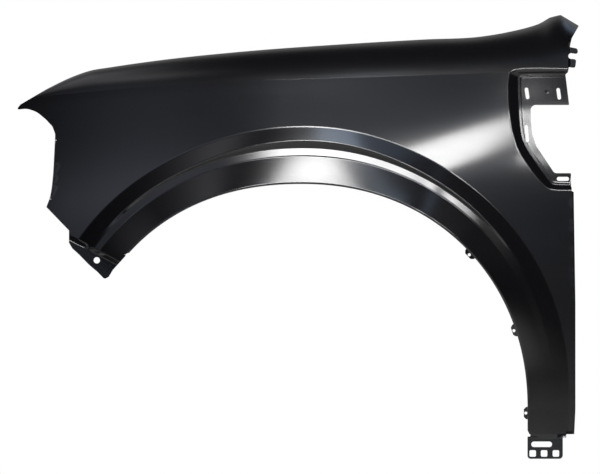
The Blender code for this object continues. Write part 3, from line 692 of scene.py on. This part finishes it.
# %% The outline
def ears():
    """Angles at which the lip flange grows its liner tabs."""
    half = math.degrees(EAR_WIDTH / 2.0 / ARCH_HALF_WIDTH)
    return [(angle - half, angle + half) for angle in EAR_ANGLES]


def lip_outline():
    """Inner edge of the blank along the lip flange, rear end first."""
    low = math.degrees(math.atan2(LIP_FROM_Z, ARCH_HALF_WIDTH))
    inner = BEND - LIP_END
    outer = BEND - EAR_END
    marks = []
    for start, end in ears():
        lead = (end - start) * EAR_LEAD
        marks += [
            (start, inner), (start + lead * 0.3, outer + 4.0), (start + lead, outer),
            (end - lead, outer), (end - lead * 0.3, outer + 4.0), (end, inner),
        ]
    for a in spread(low, LIP_TO_ANGLE, ARCH_STEP):
        if not any(s - 1.0 < a < e + 1.0 for s, e in ears()):
            marks.append((a, inner))
    out = [arch_point(a, u) for a, u in sorted(marks)]
    out[0] = (out[0][0], LIP_FROM_Z)
    return out


def blank_outline():
    """Closed outline of the flat blank."""
    loop = [(x, float(hood_z(x))) for x in spread(HOOD_EDGE[0][0], HOOD_FROM, 0.6 * ROW_STEP)]
    loop += [(x, float(hood_z(x)) + ledge_start(x) + LEDGE_WIDTH) for x in hood_stations()]
    hood_end = (HOOD_TO, float(hood_z(HOOD_TO)))
    corner = [
        hood_end + (0.0,), (488.0, 742.0, 5.0), (522.5, 721.5, 1.5),
        (509.5, 699.2, 25.0), (504.5, 681.5, 1.5), (519.8, 678.5, 4.0), (521.0, 668.0, 4.0),
        (502.8, 670.6, 5.2), (502.8, 659.6, 5.2), (517.6, 658.4, 4.0), (515.6, 642.0, 4.0),
        (503.6, 643.6, 1.0), (502.0, 634.0, 3.0), (497.2, 629.6, 1.0),
    ]
    corner += list(VENT_CUT)
    corner += [(509.0, 417.0, 3.0), (509.0, 410.6, 0.0)]
    loop += [hood_end] + rounded(corner, CORNER_STEP)[1:-1] + [(509.0, 410.6)]
    loop += [(float(door_x(z)) - BEND + DOOR_END, z) for z in spread(DOOR_TOP, DOOR_LOW, ROW_STEP)]
    foot = [
        (520.0, DOOR_LOW, 0.0), (498.8, DOOR_LOW, 1.0), (498.8, -53.0, 1.0), (492.2, -53.0, 1.0),
        (492.2, -92.7, 7.0), (425.8, -92.7, 6.0), (425.8, -51.3, 1.0), (431.1, -51.3, 1.0),
        (431.1, LIP_FROM_Z, 1.0), (420.0, LIP_FROM_Z, 0.0),
    ]
    loop += rounded(foot, CORNER_STEP)[1:-1] + lip_outline()
    loop += [arch_point(LIP_TO_ANGLE + past, BEND + PAST_BEND) for past in (0.05, 0.10)]
    loop.append(arch_point(LIP_TO_ANGLE + 0.12, 0.0))
    chin = [
        arch_point(141.0, 0.0) + (0.0,), (-353.4, 262.6, 2.0), (-361.5, 249.3, 3.0),
        (-369.5, 245.0, 5.0), (-382.0, 258.0, 6.0), (-399.0, 272.5, 20.0),
        (-417.0, 291.0, 10.0), (-430.0, 302.8, 8.0), (-436.3, 313.8, 6.0),
        (-436.3, 336.5, 1.0), (-478.9, 380.7, 1.5), (-473.0, 393.0, 0.0),
    ]
    loop += rounded(chin, CORNER_STEP)[1:-1]
    low_x, high_x = (float(lamp_x(z)) + BEND + PAST_BEND for z in (LAMP_LOW, LAMP_HIGH))
    loop += [
        (float(lamp_x(LAMP_LOW - RELIEF)), LAMP_LOW - 1.5 * RELIEF),
        (low_x, LAMP_LOW - 1.5 * RELIEF), (low_x, LAMP_LOW - 0.5 * RELIEF),
    ]
    lamp_zs = spread(LAMP_LOW, LAMP_HIGH, ROW_STEP)
    loop += [(float(lamp_x(z)) + BEND - LAMP_END, z) for z in lamp_zs]
    loop += [(high_x, LAMP_HIGH + 0.5 * RELIEF), (high_x, LAMP_HIGH + 1.5 * RELIEF)]
    nose = [
        (-462.6, LAMP_HIGH + 1.5 * RELIEF, 0.0), (-462.3, 518.0, 12.0), (-467.5, 532.0, 14.0),
        (-479.5, 545.0, 30.0), (-497.0, 559.6, 40.0), (-515.5, 565.6, 30.0),
        (-535.0, 563.6, 2.0), HOOD_EDGE[0] + (0.0,),
    ]
    return loop + rounded(nose, 2.5 * CORNER_STEP)[:-1]


print("outline points:", len(blank_outline()))

# %% The holes
def holes():
    """Closed outlines pierced in the blank."""
    lean = math.atan2(-1.6, 11.1)
    cuts = [
        slot(425.0, 594.3, SLOT_LENGTH, SLOT_WIDTH, lean),
        slot(484.6, 593.5, SLOT_LENGTH, SLOT_WIDTH, lean),
        slot(424.6, 519.0, 33.0, 6.4, math.atan2(-2.6, 33.0)),
        slot(492.4, 433.6, 23.0, 7.6, QUARTER),
        slot(452.4, -65.4, *SILL_SLOT, QUARTER),
        circle(-383.9, 280.5, CHIN_HOLE),
    ]
    half = SQUARE_HOLE / 2.0
    turns = ((-half, -half), (half, -half), (half, half), (-half, half))
    for x in (435.6, 457.0, 479.2):
        square = [(x + dx, -82.6 + dz, 2.6) for dx, dz in turns]
        cuts.append(rounded(square, 0.7 * CORNER_STEP))
    for angle in EAR_ANGLES:
        x, z = arch_point(angle, BEND - EAR_START - EAR_REACH / 2.0)
        cuts.append(circle(x, z, EAR_HOLE))
    for x in LEDGE_HOLES_X:
        s = float(hood_z(x)) + ledge_start(x) + LEDGE_WIDTH / 2.0
        cuts.append(circle(x, s, LEDGE_HOLE))
    return cuts


print("holes pierced:", len(holes()))

# %% Rows that the mesh follows
def offset_line(line, gap):
    """Shift an open line sideways, to its left for a positive gap."""
    out = []
    for i, (x, z) in enumerate(line):
        ax, az = line[max(i - 1, 0)]
        bx, bz = line[min(i + 1, len(line) - 1)]
        size = math.hypot(bx - ax, bz - az)
        out.append((x - (bz - az) / size * gap, z + (bx - ax) / size * gap))
    return out


def arch_rows(marks, high=ARCH_TO):
    """Rows round the arch; marks gives their distances outside the lip at an angle."""
    angles = spread(ARCH_FROM, high, ARCH_STEP)
    return list(zip(*([arch_point(a, u) for u in marks(a)] for a in angles)))


def flare_marks(angle):
    """Where rows run on the flare: beside each of its edges and between them."""
    band, shelf, crest, crease = flare_rows(angle)
    return (
        BEND, 17.0, 33.0, band - 1.8, band + 1.8, shelf - 2.0, shelf + 2.0, crest - 2.2,
        crest + 2.2, (crest + crease) / 2.0, crease - 4.5, crease, crease + 4.5,
    )


def hood_marks(x):
    """Lengths along the gutter section where rows run, through its roll and its bend."""
    z, heading, roll, wall = hood_section(x)[1:]
    roll = BEND * roll
    foot = roll + wall
    lengths = (0.0, roll * 0.33, roll * 0.67, roll, foot, foot + BEND_LENGTH / 3.0,
               foot + BEND_LENGTH / 1.5, foot + BEND_LENGTH)
    return [(x, float(z + q)) for q in lengths]


def shoulder_row(gap, share=0.0):
    """A row along the shoulder line, shifted by a gap or by a share of the crown's height."""
    row = []
    for x in spread(SHOULDER_FROM, SHOULDER_TO, ROW_STEP):
        zs = float(shoulder_z(x))
        row.append((x, zs + (share * float(hood_z(x) - shoulder_z(x)) if share else gap)))
    return row


def feature_rows():
    """Lines of the skin that the mesh follows."""
    rows = arch_rows(flare_marks)
    bends = (LIP_BEND / 3.0, LIP_BEND * 2.0 / 3.0, LIP_BEND)
    rows += arch_rows(lambda angle: [BEND - q for q in bends], LIP_TO_ANGLE)
    for start, end in ears():
        turns = spread(start + 0.12, end - 0.12, 0.3 * ARCH_STEP)
        for q in (0.0, LIP_BEND / 2.0, LIP_BEND):
            rows.append([arch_point(a, BEND - LIP_END - q) for a in turns])
    rows += [shoulder_row(gap) for gap in (-14.0, -6.0, 0.0, 6.0)]
    rows += [shoulder_row(0.0, share) for share in (0.30, 0.50, 0.68, 0.84)]
    rows += zip(*(hood_marks(x) for x in hood_stations()))
    zs = spread(DOOR_LOW, DOOR_TOP, ROW_STEP)
    for q in (0.0, BEND_LENGTH / 3.0, BEND_LENGTH * 2.0 / 3.0, BEND_LENGTH):
        rows.append([(float(door_x(z)) - BEND + q, z) for z in zs])
    zs = spread(LAMP_LOW, LAMP_HIGH, ROW_STEP)
    for q in (0.0, BEND_LENGTH / 2.0, BEND_LENGTH):
        rows.append([(float(lamp_x(z)) + BEND - q, z) for z in zs])
    for line in (POCKET_RIM, POCKET_FOOT):
        rows += [offset_line(divide(line, ROW_STEP), gap) for gap in (-1.6, 1.6)]
    for z in (-56.0, -52.5, -49.5, -46.0):
        rows.append([(x, z) for x in spread(427.0, 498.0, 0.6 * ROW_STEP)])
    turn_x, turn_z = CHIN_TURN
    for depth in (0.0, 4.0, 8.0, 12.0):
        x, z = CHIN_CORNER[0] - turn_z * depth, CHIN_CORNER[1] - turn_x * depth
        along = spread(-20.0, 110.0, 0.5 * ROW_STEP)
        rows.append([(x + turn_x * t, z - turn_z * t) for t in along])
    for x in (502.0, 503.7, 505.3, 507.0):
        rows.append([(x, z) for z in spread(642.0, 688.0, 0.3 * ROW_STEP)])
    return rows


print("feature rows:", len(feature_rows()))

# %% Laying out and triangulating
class Plan:
    """The flat blank being laid out: points with the sides that must stay."""

    def __init__(self, outline, cuts):
        self.outline = outline
        self.cuts = cuts
        self.points = []
        self.sides = []
        for loop in [outline] + cuts:
            first = len(self.points)
            self.points += loop
            count = len(loop)
            self.sides += [(first + i, first + (i + 1) % count) for i in range(count)]

    def clear(self, xz, gap):
        """Which points are on the sheet and away from every trimmed edge."""
        x, z = np.array(xz).T
        keep = inside(x, z, self.outline)
        keep &= distance(x, z, self.outline + self.outline[:1]) > gap
        for cut in self.cuts:
            keep &= ~inside(x, z, cut)
            keep &= distance(x, z, cut + cut[:1]) > min(gap, HOLE_GAP)
        return keep

    def add_row(self, row, gap):
        keep = self.clear(row, gap)
        last = None
        for point, good in zip(row, keep):
            if not good:
                last = None
                continue
            self.points.append(point)
            if last is not None:
                self.sides.append((last, len(self.points) - 1))
            last = len(self.points) - 1

    def add_field(self, pitch, gap):
        """Fill the open areas with an even lattice of points."""
        known = np.array(self.points)
        lattice = []
        z = FIELD_Z[0]
        row = 0
        while z < FIELD_Z[1]:
            shift = pitch * 0.5 * (row % 2)
            lattice += [(x + shift, z) for x in np.arange(*FIELD_X, pitch)]
            z += pitch * 0.87
            row += 1
        keep = self.clear(lattice, gap)
        for point, good in zip(lattice, keep):
            if good and np.min(np.hypot(known[:, 0] - point[0], known[:, 1] - point[1])) > gap:
                self.points.append(point)

    def triangles(self):
        flat = [Vector(p) for p in self.points]
        spots, _, faces = delaunay_2d_cdt(flat, self.sides, [], 0, MERGE)[:3]
        points = [(p.x, p.y) for p in spots]
        cx, cz = (np.array([sum(points[i][k] for i in f) / 3.0 for f in faces]) for k in (0, 1))
        keep = inside(cx, cz, self.outline)
        for cut in self.cuts:
            keep &= ~inside(cx, cz, cut)
        return points, [f for f, good in zip(faces, keep) if good]


print("plan tools:", [name for name in dir(Plan) if not name.startswith("_")])

# %% [markdown]
# Some small marks of the press belong to the fine sheet alone: a round locating
# dimple between the two upper slots, tight creases along the shoulder and the
# flare, the low step beside the flare's band, and a bead at the pocket's foot.
# They are too fine for the solid, and too deep to be left to a bump texture,
# because their edge catches the light from the side. Finer rows follow them.

# %% The locating dimple and the blank's mesh
DIMPLE = (463.0, 597.8)
DIMPLE_RADIUS = 4.2
DIMPLE_DEPTH = 1.1


def dimple(x, z):
    """Depth of the locating dimple below the floor of the pocket."""
    near = np.hypot(np.asarray(x) - DIMPLE[0], np.asarray(z) - DIMPLE[1])
    return DIMPLE_DEPTH * (1.0 - ease(near, 0.35 * DIMPLE_RADIUS, DIMPLE_RADIUS))


def fine_rows():
    """The rows of the skin, and those that only the fine mesh needs."""
    turns = [(0, gap) for gap in (-1.3, -0.6, 0.0, 0.6, 1.3)]
    turns += [(key, gap) for key in (1, 2) for gap in (-0.9, 0.0, 0.9)]
    turns += [(3, gap) for gap in (-2.0, -0.8, 0.8, 2.0)]
    rows = feature_rows()
    rows += arch_rows(lambda angle: [flare_rows(angle)[key] + gap for key, gap in turns])
    rows += [shoulder_row(gap) for gap in (-2.4, -0.06, 0.06, 2.4)]
    pocket_gaps = (-3.2, 0.0, 3.2)
    for line, gaps in ((POCKET_RIM, pocket_gaps), (POCKET_FOOT, pocket_gaps + (4.8, 6.4, 8.0))):
        bend = divide(line, ROW_STEP / 2.0)
        rows += [offset_line(bend, gap) for gap in gaps]
    for share in (0.35, 0.6, 0.8, 1.0):
        ring = circle(*DIMPLE, 2.0 * share * DIMPLE_RADIUS)
        rows.append(ring + ring[:1])
    return rows


def fine_blank():
    """Mesh the flat blank closely; returns its points and triangles."""
    plan = Plan(blank_outline(), holes())
    for row in fine_rows():
        plan.add_row(row, ROW_GAP)
    plan.add_field(FIELD_STEP, FIELD_GAP)
    return plan.triangles()


blank_points, blank_faces = fine_blank()
print("blank:", len(blank_points), "points and", len(blank_faces), "triangles")

# %% [markdown]
# ## The sheet
# Each point of the blank is placed on the folded sheet, with the direction in
# which the surface faces there. The inner face lies one sheet thickness behind
# it, and a small round edge joins the two, as a sheared and dipped edge has.
# A Solidify modifier would give thickness too, but here the directions come
# from the drawing itself and are written to the mesh as custom normals, so the
# reflections run smoothly whatever the size of the triangles.

# %% Placing the points and facing them
NUDGE = 0.05


def place(x, s, zones):
    """Points of the finished sheet in millimetres from the rail seat."""
    spot = fold(x, s, zones) - origin()
    spot[:, 1] += dimple(x, s)
    return spot


def facing(x, s, zones):
    """Direction in which the outer face looks, from the slopes of the sheet."""
    across = place(x + NUDGE, s, zones) - place(x - NUDGE, s, zones)
    upward = place(x, s + NUDGE, zones) - place(x, s - NUDGE, zones)
    normal = np.cross(across, upward)
    return normal / np.linalg.norm(normal, axis=1, keepdims=True)


flat = np.array(blank_points)
zones = fold_zones(flat[:, 0], flat[:, 1])
outer = place(flat[:, 0], flat[:, 1], zones)
normals = facing(flat[:, 0], flat[:, 1], zones)
print("sheet reaches from", outer.min(axis=0).round(1), "to", outer.max(axis=0).round(1), "mm")

# %% Building the shell
EDGE_STEPS = 4
EDGE_ROUND = 0.2


def edge_neighbours(faces):
    """For each point of the trimmed edge, the points before and after it."""
    sides = {(a, b) for f in faces for a, b in zip(f, f[1:] + f[:1])}
    loose = [(a, b) for a, b in sides if (b, a) not in sides]
    after = dict(sorted(loose))
    before = {b: a for a, b in loose}
    return before, after


def shell(points, directions, faces):
    """Give the outer face its thickness; returns points, faces and loop normals."""
    faces = [tuple(f) for f in faces]
    before, after = edge_neighbours(faces)
    rim = sorted(v for v in after if v in before)
    up = directions[rim]
    out = np.cross(points[[after[v] for v in rim]] - points[[before[v] for v in rim]], up)
    out /= np.maximum(np.linalg.norm(out, axis=1, keepdims=True), 1e-9)
    top = points.copy()
    top[rim] -= out * EDGE_ROUND
    count = len(points)
    places = [top, top - directions * SHEET]
    rings, ring_normals = [rim], [up]
    total = 2 * count
    for k in range(1, EDGE_STEPS):
        turn = math.pi * k / EDGE_STEPS
        down = up * (SHEET * (1.0 - math.cos(turn)) / 2.0)
        places.append(top[rim] - down + out * (EDGE_ROUND * math.sin(turn)))
        rings.append(range(total, total + len(rim)))
        ring_normals.append(up * math.cos(turn) + out * math.sin(turn))
        total += len(rim)
    rings.append([v + count for v in rim])
    ring_normals.append(-up)
    back = [tuple(v + count for v in reversed(f)) for f in faces]
    loops = [directions[v] for f in faces for v in f]
    loops += [-directions[v - count] for f in back for v in f]
    quads = []
    index = {v: i for i, v in enumerate(rim)}
    for i, j in [(index[a], index[after[a]]) for a in rim if after[a] in index]:
        for k in range(EDGE_STEPS):
            corners = ((k, j), (k, i), (k + 1, i), (k + 1, j))
            quads.append(tuple(rings[m][n] for m, n in corners))
            loops += [ring_normals[m][n] for m, n in corners]
    return np.vstack(places), faces + back + quads, loops, len(faces)


area = sum(
    (flat[b][0] - flat[a][0]) * (flat[c][1] - flat[a][1])
    - (flat[c][0] - flat[a][0]) * (flat[b][1] - flat[a][1])
    for a, b, c in blank_faces
) / 2.0
if area < 0.0:
    blank_faces = [list(reversed(f)) for f in blank_faces]
shell_points, shell_faces, shell_normals, skin_count = shell(outer, normals, blank_faces)
print("flat blank:", round(abs(area) / 1e6, 3), "square metres; sheet:", len(shell_faces), "faces")

# %% The panel object
def add_object(name, data):
    """Put a mesh, a lamp or a camera in the scene."""
    made = bpy.data.objects.new(name, data)
    bpy.context.scene.collection.objects.link(made)
    return made


mesh = bpy.data.meshes.new("fender_sheet")
mesh.from_pydata((shell_points * MM).tolist(), [], shell_faces)
mesh.update()
mesh.polygons.foreach_set("use_smooth", [True] * len(mesh.polygons))
mesh.normals_split_custom_set([tuple(n) for n in shell_normals])
panel = add_object("fender_sheet", mesh)
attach(panel, "root")
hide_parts("fender_panel")
print("triangles:", sum(len(f) - 2 for f in shell_faces))

# %% [markdown]
# ## Black primer
# The panel is dipped whole in a bath and the primer is drawn on by a current,
# which leaves an even satin black. Close up it has a fine orange peel, a faint
# grain, and light wiping marks and dust from handling.
# Effects that both sides of the sheet share are node groups. A group returns
# only values that change over the surface, and the shader stays in the
# material with its own plain settings.

# %% Helpers for node groups
def new_group(name, inputs, outputs):
    """An empty node group with named sockets; returns it and its two ends."""
    group = bpy.data.node_groups.new(name, "ShaderNodeTree")
    for socket, kind, value in inputs:
        made = group.interface.new_socket(name=socket, in_out="INPUT", socket_type=kind)
        if value is not None:
            made.default_value = value
    for socket, kind in outputs:
        group.interface.new_socket(name=socket, in_out="OUTPUT", socket_type=kind)
    start = group.nodes.new("NodeGroupInput")
    end = group.nodes.new("NodeGroupOutput")
    return group, start, end


def feed(tree, node, inputs):
    """Feed a node's inputs by name, from sockets or with plain values."""
    for name, value in inputs.items():
        if hasattr(value, "links"):
            tree.links.new(value, node.inputs[name])
        else:
            node.inputs[name].default_value = value
    return node


def add_node(tree, kind, inputs, **settings):
    """Add a node with its own settings, then feed it."""
    node = tree.nodes.new(kind)
    for name, value in settings.items():
        setattr(node, name, value)
    return feed(tree, node, inputs)


def add_math(tree, operation, a, b):
    return add_node(tree, "ShaderNodeMath", {0: a, 1: b}, operation=operation).outputs[0]


def add_noise(tree, vector, scale, detail, roughness=0.5):
    inputs = {"Vector": vector, "Scale": scale, "Detail": detail, "Roughness": roughness}
    return add_node(tree, "ShaderNodeTexNoise", inputs).outputs["Fac"]


def add_mix(tree, factor, a, b, blend="MIX"):
    """Mix two colours, each a socket or four plain numbers."""
    inputs = {"Factor": factor, "A": a, "B": b}
    node = add_node(tree, "ShaderNodeMix", inputs, data_type="RGBA", blend_type=blend)
    return node.outputs["Result"]


print("helpers ready")

# %% [markdown]
# Orange peel is a shallow swell about a millimetre across, left where the wet
# film draws together before it is baked. On top lies a grain a tenth as wide.
# Both feed one height, and a slower noise says where the film is a little
# duller. The scales are waves per metre.

# %% Group: primer film
def make_film_group():
    group, start, end = new_group(
        "primer_film",
        [("Vector", "NodeSocketVector", None), ("Peel scale", "NodeSocketFloat", 420.0),
         ("Grain scale", "NodeSocketFloat", 2600.0), ("Grain share", "NodeSocketFloat", 0.35)],
        [("Height", "NodeSocketFloat"), ("Dullness", "NodeSocketFloat")],
    )
    vector = start.outputs["Vector"]
    peel = add_noise(group, vector, start.outputs["Peel scale"], 1.0)
    grain = add_noise(group, vector, start.outputs["Grain scale"], 1.0)
    scaled = add_math(group, "MULTIPLY", grain, start.outputs["Grain share"])
    cloud = add_noise(group, vector, 5.0, 4.0, 0.55)
    feed(group, end, {"Height": add_math(group, "ADD", peel, scaled), "Dullness": cloud})
    return group


film_group = make_film_group()
outputs = [s.name for s in film_group.nodes["Group Output"].inputs if s.name]
print("group", film_group.name, "with outputs", outputs)

# %% [markdown]
# Dust and wiping marks are what a hand sees on a new black panel under a lamp.
# Dust is a scatter of pale specks, thicker where a cloud of noise allows it.
# Wiping marks are faint streaks along the panel, stretched noise that changes
# the roughness and hardly the colour.

# %% Group: handling marks
def make_marks_group():
    group, start, end = new_group(
        "handling_marks",
        [("Vector", "NodeSocketVector", None), ("Dust", "NodeSocketFloat", 0.5),
         ("Wipe", "NodeSocketFloat", 0.5)],
        [("Specks", "NodeSocketFloat"), ("Streaks", "NodeSocketFloat")],
    )
    vector = start.outputs["Vector"]
    cells = add_node(group, "ShaderNodeTexVoronoi", {"Vector": vector, "Scale": 260.0})
    speck = add_math(group, "LESS_THAN", cells.outputs["Distance"], 0.07)
    some = add_math(group, "GREATER_THAN", add_noise(group, vector, 9.0, 3.0), 0.5)
    specks = add_math(group, "MULTIPLY", speck, some)
    inputs = {"Vector": vector, "Scale": (1.0, 1.0, 9.0), "Rotation": (0.0, 0.25, 0.0)}
    stretch = add_node(group, "ShaderNodeMapping", inputs)
    wipe = add_noise(group, stretch.outputs["Vector"], 7.0, 5.0, 0.6)
    feed(group, end, {
        "Specks": add_math(group, "MULTIPLY", specks, start.outputs["Dust"]),
        "Streaks": add_math(group, "MULTIPLY", wipe, start.outputs["Wipe"]),
    })
    return group


marks_group = make_marks_group()
print("group", marks_group.name, "made")

# %% [markdown]
# The two materials differ as the two sides do: the outer skin is smooth and a
# little glossier, and the inner side is duller, with more dust. Their plain
# numbers are set on the shader itself. The peel is a height in metres.

# %% The primer materials
PRIMER_BLACK = (0.0026, 0.0026, 0.0031, 1.0)
DUST_GREY = (0.10, 0.10, 0.10, 1.0)
WIPE_SHARE = 0.08


def primer(name, roughness, variation, peel, dust, wipe):
    """Black primer with its own roughness, peel depth, dust and wiping marks."""
    material = bpy.data.materials.new(name)
    material.use_nodes = True
    tree = material.node_tree
    where = tree.nodes.new("ShaderNodeTexCoord").outputs["Object"]
    film = add_node(tree, "ShaderNodeGroup", {"Vector": where}, node_tree=film_group).outputs
    inputs = {"Vector": where, "Dust": dust, "Wipe": wipe}
    marks = add_node(tree, "ShaderNodeGroup", inputs, node_tree=marks_group).outputs
    cloudy = add_math(tree, "MULTIPLY", film["Dullness"], variation)
    wiped = add_math(tree, "MULTIPLY", marks["Streaks"], WIPE_SHARE)
    dull = add_math(tree, "ADD", cloudy, wiped)
    inputs = {"Strength": 1.0, "Distance": peel, "Height": film["Height"]}
    bump = add_node(tree, "ShaderNodeBump", inputs)
    feed(tree, tree.nodes["Principled BSDF"], {
        "Specular IOR Level": 0.5,
        "Base Color": add_mix(tree, marks["Specks"], PRIMER_BLACK, DUST_GREY),
        "Roughness": add_math(tree, "ADD", dull, roughness - 0.5 * variation),
        "Normal": bump.outputs["Normal"],
    })
    return material


OUTER = {"roughness": 0.20, "variation": 0.03, "peel": 0.0000025, "dust": 0.25, "wipe": 0.5}
INNER = {"roughness": 0.42, "variation": 0.10, "peel": 0.000006, "dust": 0.7, "wipe": 0.8}
panel.data.materials.append(primer("primer_outer", **OUTER))
panel.data.materials.append(primer("primer_inner", **INNER))
side = [0] * skin_count + [1] * skin_count + [0] * (len(shell_faces) - 2 * skin_count)
panel.data.polygons.foreach_set("material_index", side)
print("materials:", [m.name for m in panel.data.materials])

# %% [markdown]
# ## Studio
# A black panel is seen by what it reflects. Here that is a dark room with soft
# boxes: a wide dim one ahead of the car, a tall narrow one that draws the
# streak on the haunch, and small ones for the glows on the crown and the body.
# Behind the panel the room turns white, as a backdrop does. The world gives
# each ray what it asks for: the camera sees plain white, mirrored rays see the
# room, and all other light is an even grey. The lamps stand where the flare
# mirrors them, and the camera can't see them. The floor is a pale sheet just
# under the lowest tab.

# %% The floor
FLOOR_SIZE = 4.0
FLOOR_GAP = 0.002
half = FLOOR_SIZE / 2.0
under = cad_low.z - FLOOR_GAP
corners = [(-half, -half, under), (half, -half, under), (half, half, under), (-half, half, under)]
floor_mesh = bpy.data.meshes.new("floor")
floor_mesh.from_pydata(corners, [], [(0, 1, 2, 3)])
floor = add_object("floor", floor_mesh)
paper = bpy.data.materials.new("floor_paper")
paper.use_nodes = True
paper_looks = {"Roughness": 0.9, "Base Color": (0.86, 0.86, 0.86, 1.0)}
feed(paper.node_tree, paper.node_tree.nodes["Principled BSDF"], paper_looks)
floor_mesh.materials.append(paper)
floor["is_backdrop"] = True
print("floor at", round(under, 4), "m")

# %% The world
WHITE = (1.0, 1.0, 1.0, 1.0)
WORLD_FILL = (0.25, 0.25, 0.25, 1.0)
BACKDROP_TURN = (0.48, 0.66)
BOX_EDGE = (1.15, 0.15)
ANY_DEPTH = 1000.0
# Centre and reach of each box as shares of X and Z, then its colour.
SOFT_BOXES = (
    ((-0.37, 0.40), (0.36, 0.43), (0.86, 0.92, 1.12)),
    ((0.07, 0.27), (0.055, 0.20), (2.8, 3.0, 3.4)),
    ((-0.46, 0.89), (0.34, 0.11), (0.52, 0.53, 0.56)),
    ((0.24, 0.84), (0.12, 0.07), (1.2, 1.5, 2.1)),
    ((-0.34, 0.93), (0.16, 0.12), (0.8, 0.8, 0.82)),
    ((0.075, 0.055), (0.05, 0.05), (2.4, 2.7, 3.4)),
    ((-0.93, 0.15), (0.22, 0.35), (0.40, 0.40, 0.42)),
    ((-0.03, 0.05), (0.10, 0.06), (0.32, 0.38, 0.52)),
)


def soft_step(tree, value, low, high):
    """Zero at low, one at high, smooth between; low may be the larger of the two."""
    inputs = {"Value": value, "From Min": low, "From Max": high}
    node = add_node(tree, "ShaderNodeMapRange", inputs, interpolation_type="SMOOTHSTEP")
    return node.outputs["Result"]


def add_soft_box(tree, where, room, centre, reach, colour):
    """Add the glow of one soft box to the room's colour."""
    location = (centre[0], 0.0, centre[1])
    inputs = {"Vector": where, "Location": location, "Scale": (reach[0], ANY_DEPTH, reach[1])}
    turned = add_node(tree, "ShaderNodeMapping", inputs, vector_type="TEXTURE")
    inputs = {0: turned.outputs["Vector"]}
    away = add_node(tree, "ShaderNodeVectorMath", inputs, operation="LENGTH")
    glow = soft_step(tree, away.outputs["Value"], *BOX_EDGE)
    return add_mix(tree, glow, room, colour + (1.0,), "ADD")


def make_world():
    """White for the camera, the room for mirrored rays, an even grey for the rest."""
    world = bpy.data.worlds.new("studio")
    world.use_nodes = True
    tree = world.node_tree
    ray = tree.nodes.new("ShaderNodeLightPath").outputs
    where = tree.nodes.new("ShaderNodeTexCoord").outputs["Generated"]
    room = (0.0, 0.0, 0.0, 1.0)
    for centre, reach, colour in SOFT_BOXES:
        room = add_soft_box(tree, where, room, centre, reach, colour)
    parts = add_node(tree, "ShaderNodeSeparateXYZ", {0: where})
    behind = soft_step(tree, parts.outputs["Y"], *BACKDROP_TURN)
    studio = add_mix(tree, behind, room, WHITE)
    light = add_mix(tree, ray["Is Glossy Ray"], WORLD_FILL, studio)
    plain = add_math(tree, "MAXIMUM", ray["Is Camera Ray"], ray["Is Transmission Ray"])
    feed(tree, tree.nodes["Background"], {"Color": add_mix(tree, plain, light, WHITE)})
    return world


bpy.context.scene.world = make_world()
print("world made")

# %% The lamps
BODY = (0.05, -0.1, -0.25)
PLAIN, BLUISH = (1.0, 1.0, 1.0), (0.62, 0.77, 1.0)
# Name, place, target, width, height, power in watts and colour of each lamp.
LAMPS = (
    ("front_lamp", (0.03, -1.274, 0.608), BODY, 0.40, 0.54, 20.9, PLAIN),
    ("side_lamp", (0.64, -1.32, 0.59), BODY, 0.30, 0.46, 12.5, PLAIN),
    ("band_strip", (-0.055, -0.385, 0.072), (-0.08, -0.11, -0.219), 0.11, 0.05, 0.35, PLAIN),
    ("step_strip", (0.02, -0.333, 0.162), (-0.025, -0.097, -0.158), 0.13, 0.035, 0.16, BLUISH),
    ("shelf_spot", (0.387, -0.43, -0.104), (0.218, -0.122, -0.293), 0.055, 0.055, 0.19, PLAIN),
)
for name, spot, target, width, height, watts, colour in LAMPS:
    light = bpy.data.lights.new(name, "AREA")
    light.shape = "RECTANGLE"
    light.size = width
    light.size_y = height
    light.energy = watts
    light.color = colour
    lamp = add_object(name, light)
    lamp.location = spot
    lamp.visible_camera = False
    lamp.rotation_euler = (Vector(target) - Vector(spot)).to_track_quat("-Z", "Y").to_euler()

# %% [markdown]
# ## Camera
# The panel is looked at square from its outer side through a very long lens,
# so its lines keep their lengths across the whole frame. An orthographic
# camera is that lens taken to its end. Its width follows from the scale of the
# side view: one pixel of a frame 600 wide is 1.88 mm.

# %% Camera
FRAME_WIDTH = 600
PIXEL = 1.88
CENTRE = (-1.88, 324.3)
CAMERA_Y = -5.0
camera = add_object("camera", bpy.data.cameras.new("camera"))
camera.data.type = "ORTHO"
camera.data.ortho_scale = FRAME_WIDTH * PIXEL * MM
camera.data.clip_end = 50.0
seat = origin()
camera.location = ((CENTRE[0] - seat[0]) * MM, CAMERA_Y, (CENTRE[1] - seat[2]) * MM)
camera.rotation_euler = (math.radians(90.0), 0.0, 0.0)
bpy.context.scene.camera = camera
bpy.context.scene.view_settings.view_transform = "Standard"
print("view is", round(camera.data.ortho_scale, 3), "m wide")

# %% Sizes and finish
seen_low, seen_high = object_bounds()
past = (*(cad_low - seen_low), *(seen_high - cad_high))
print("sheet past the solid's box, in mm:", [round(float(v) / MM, 2) for v in past])
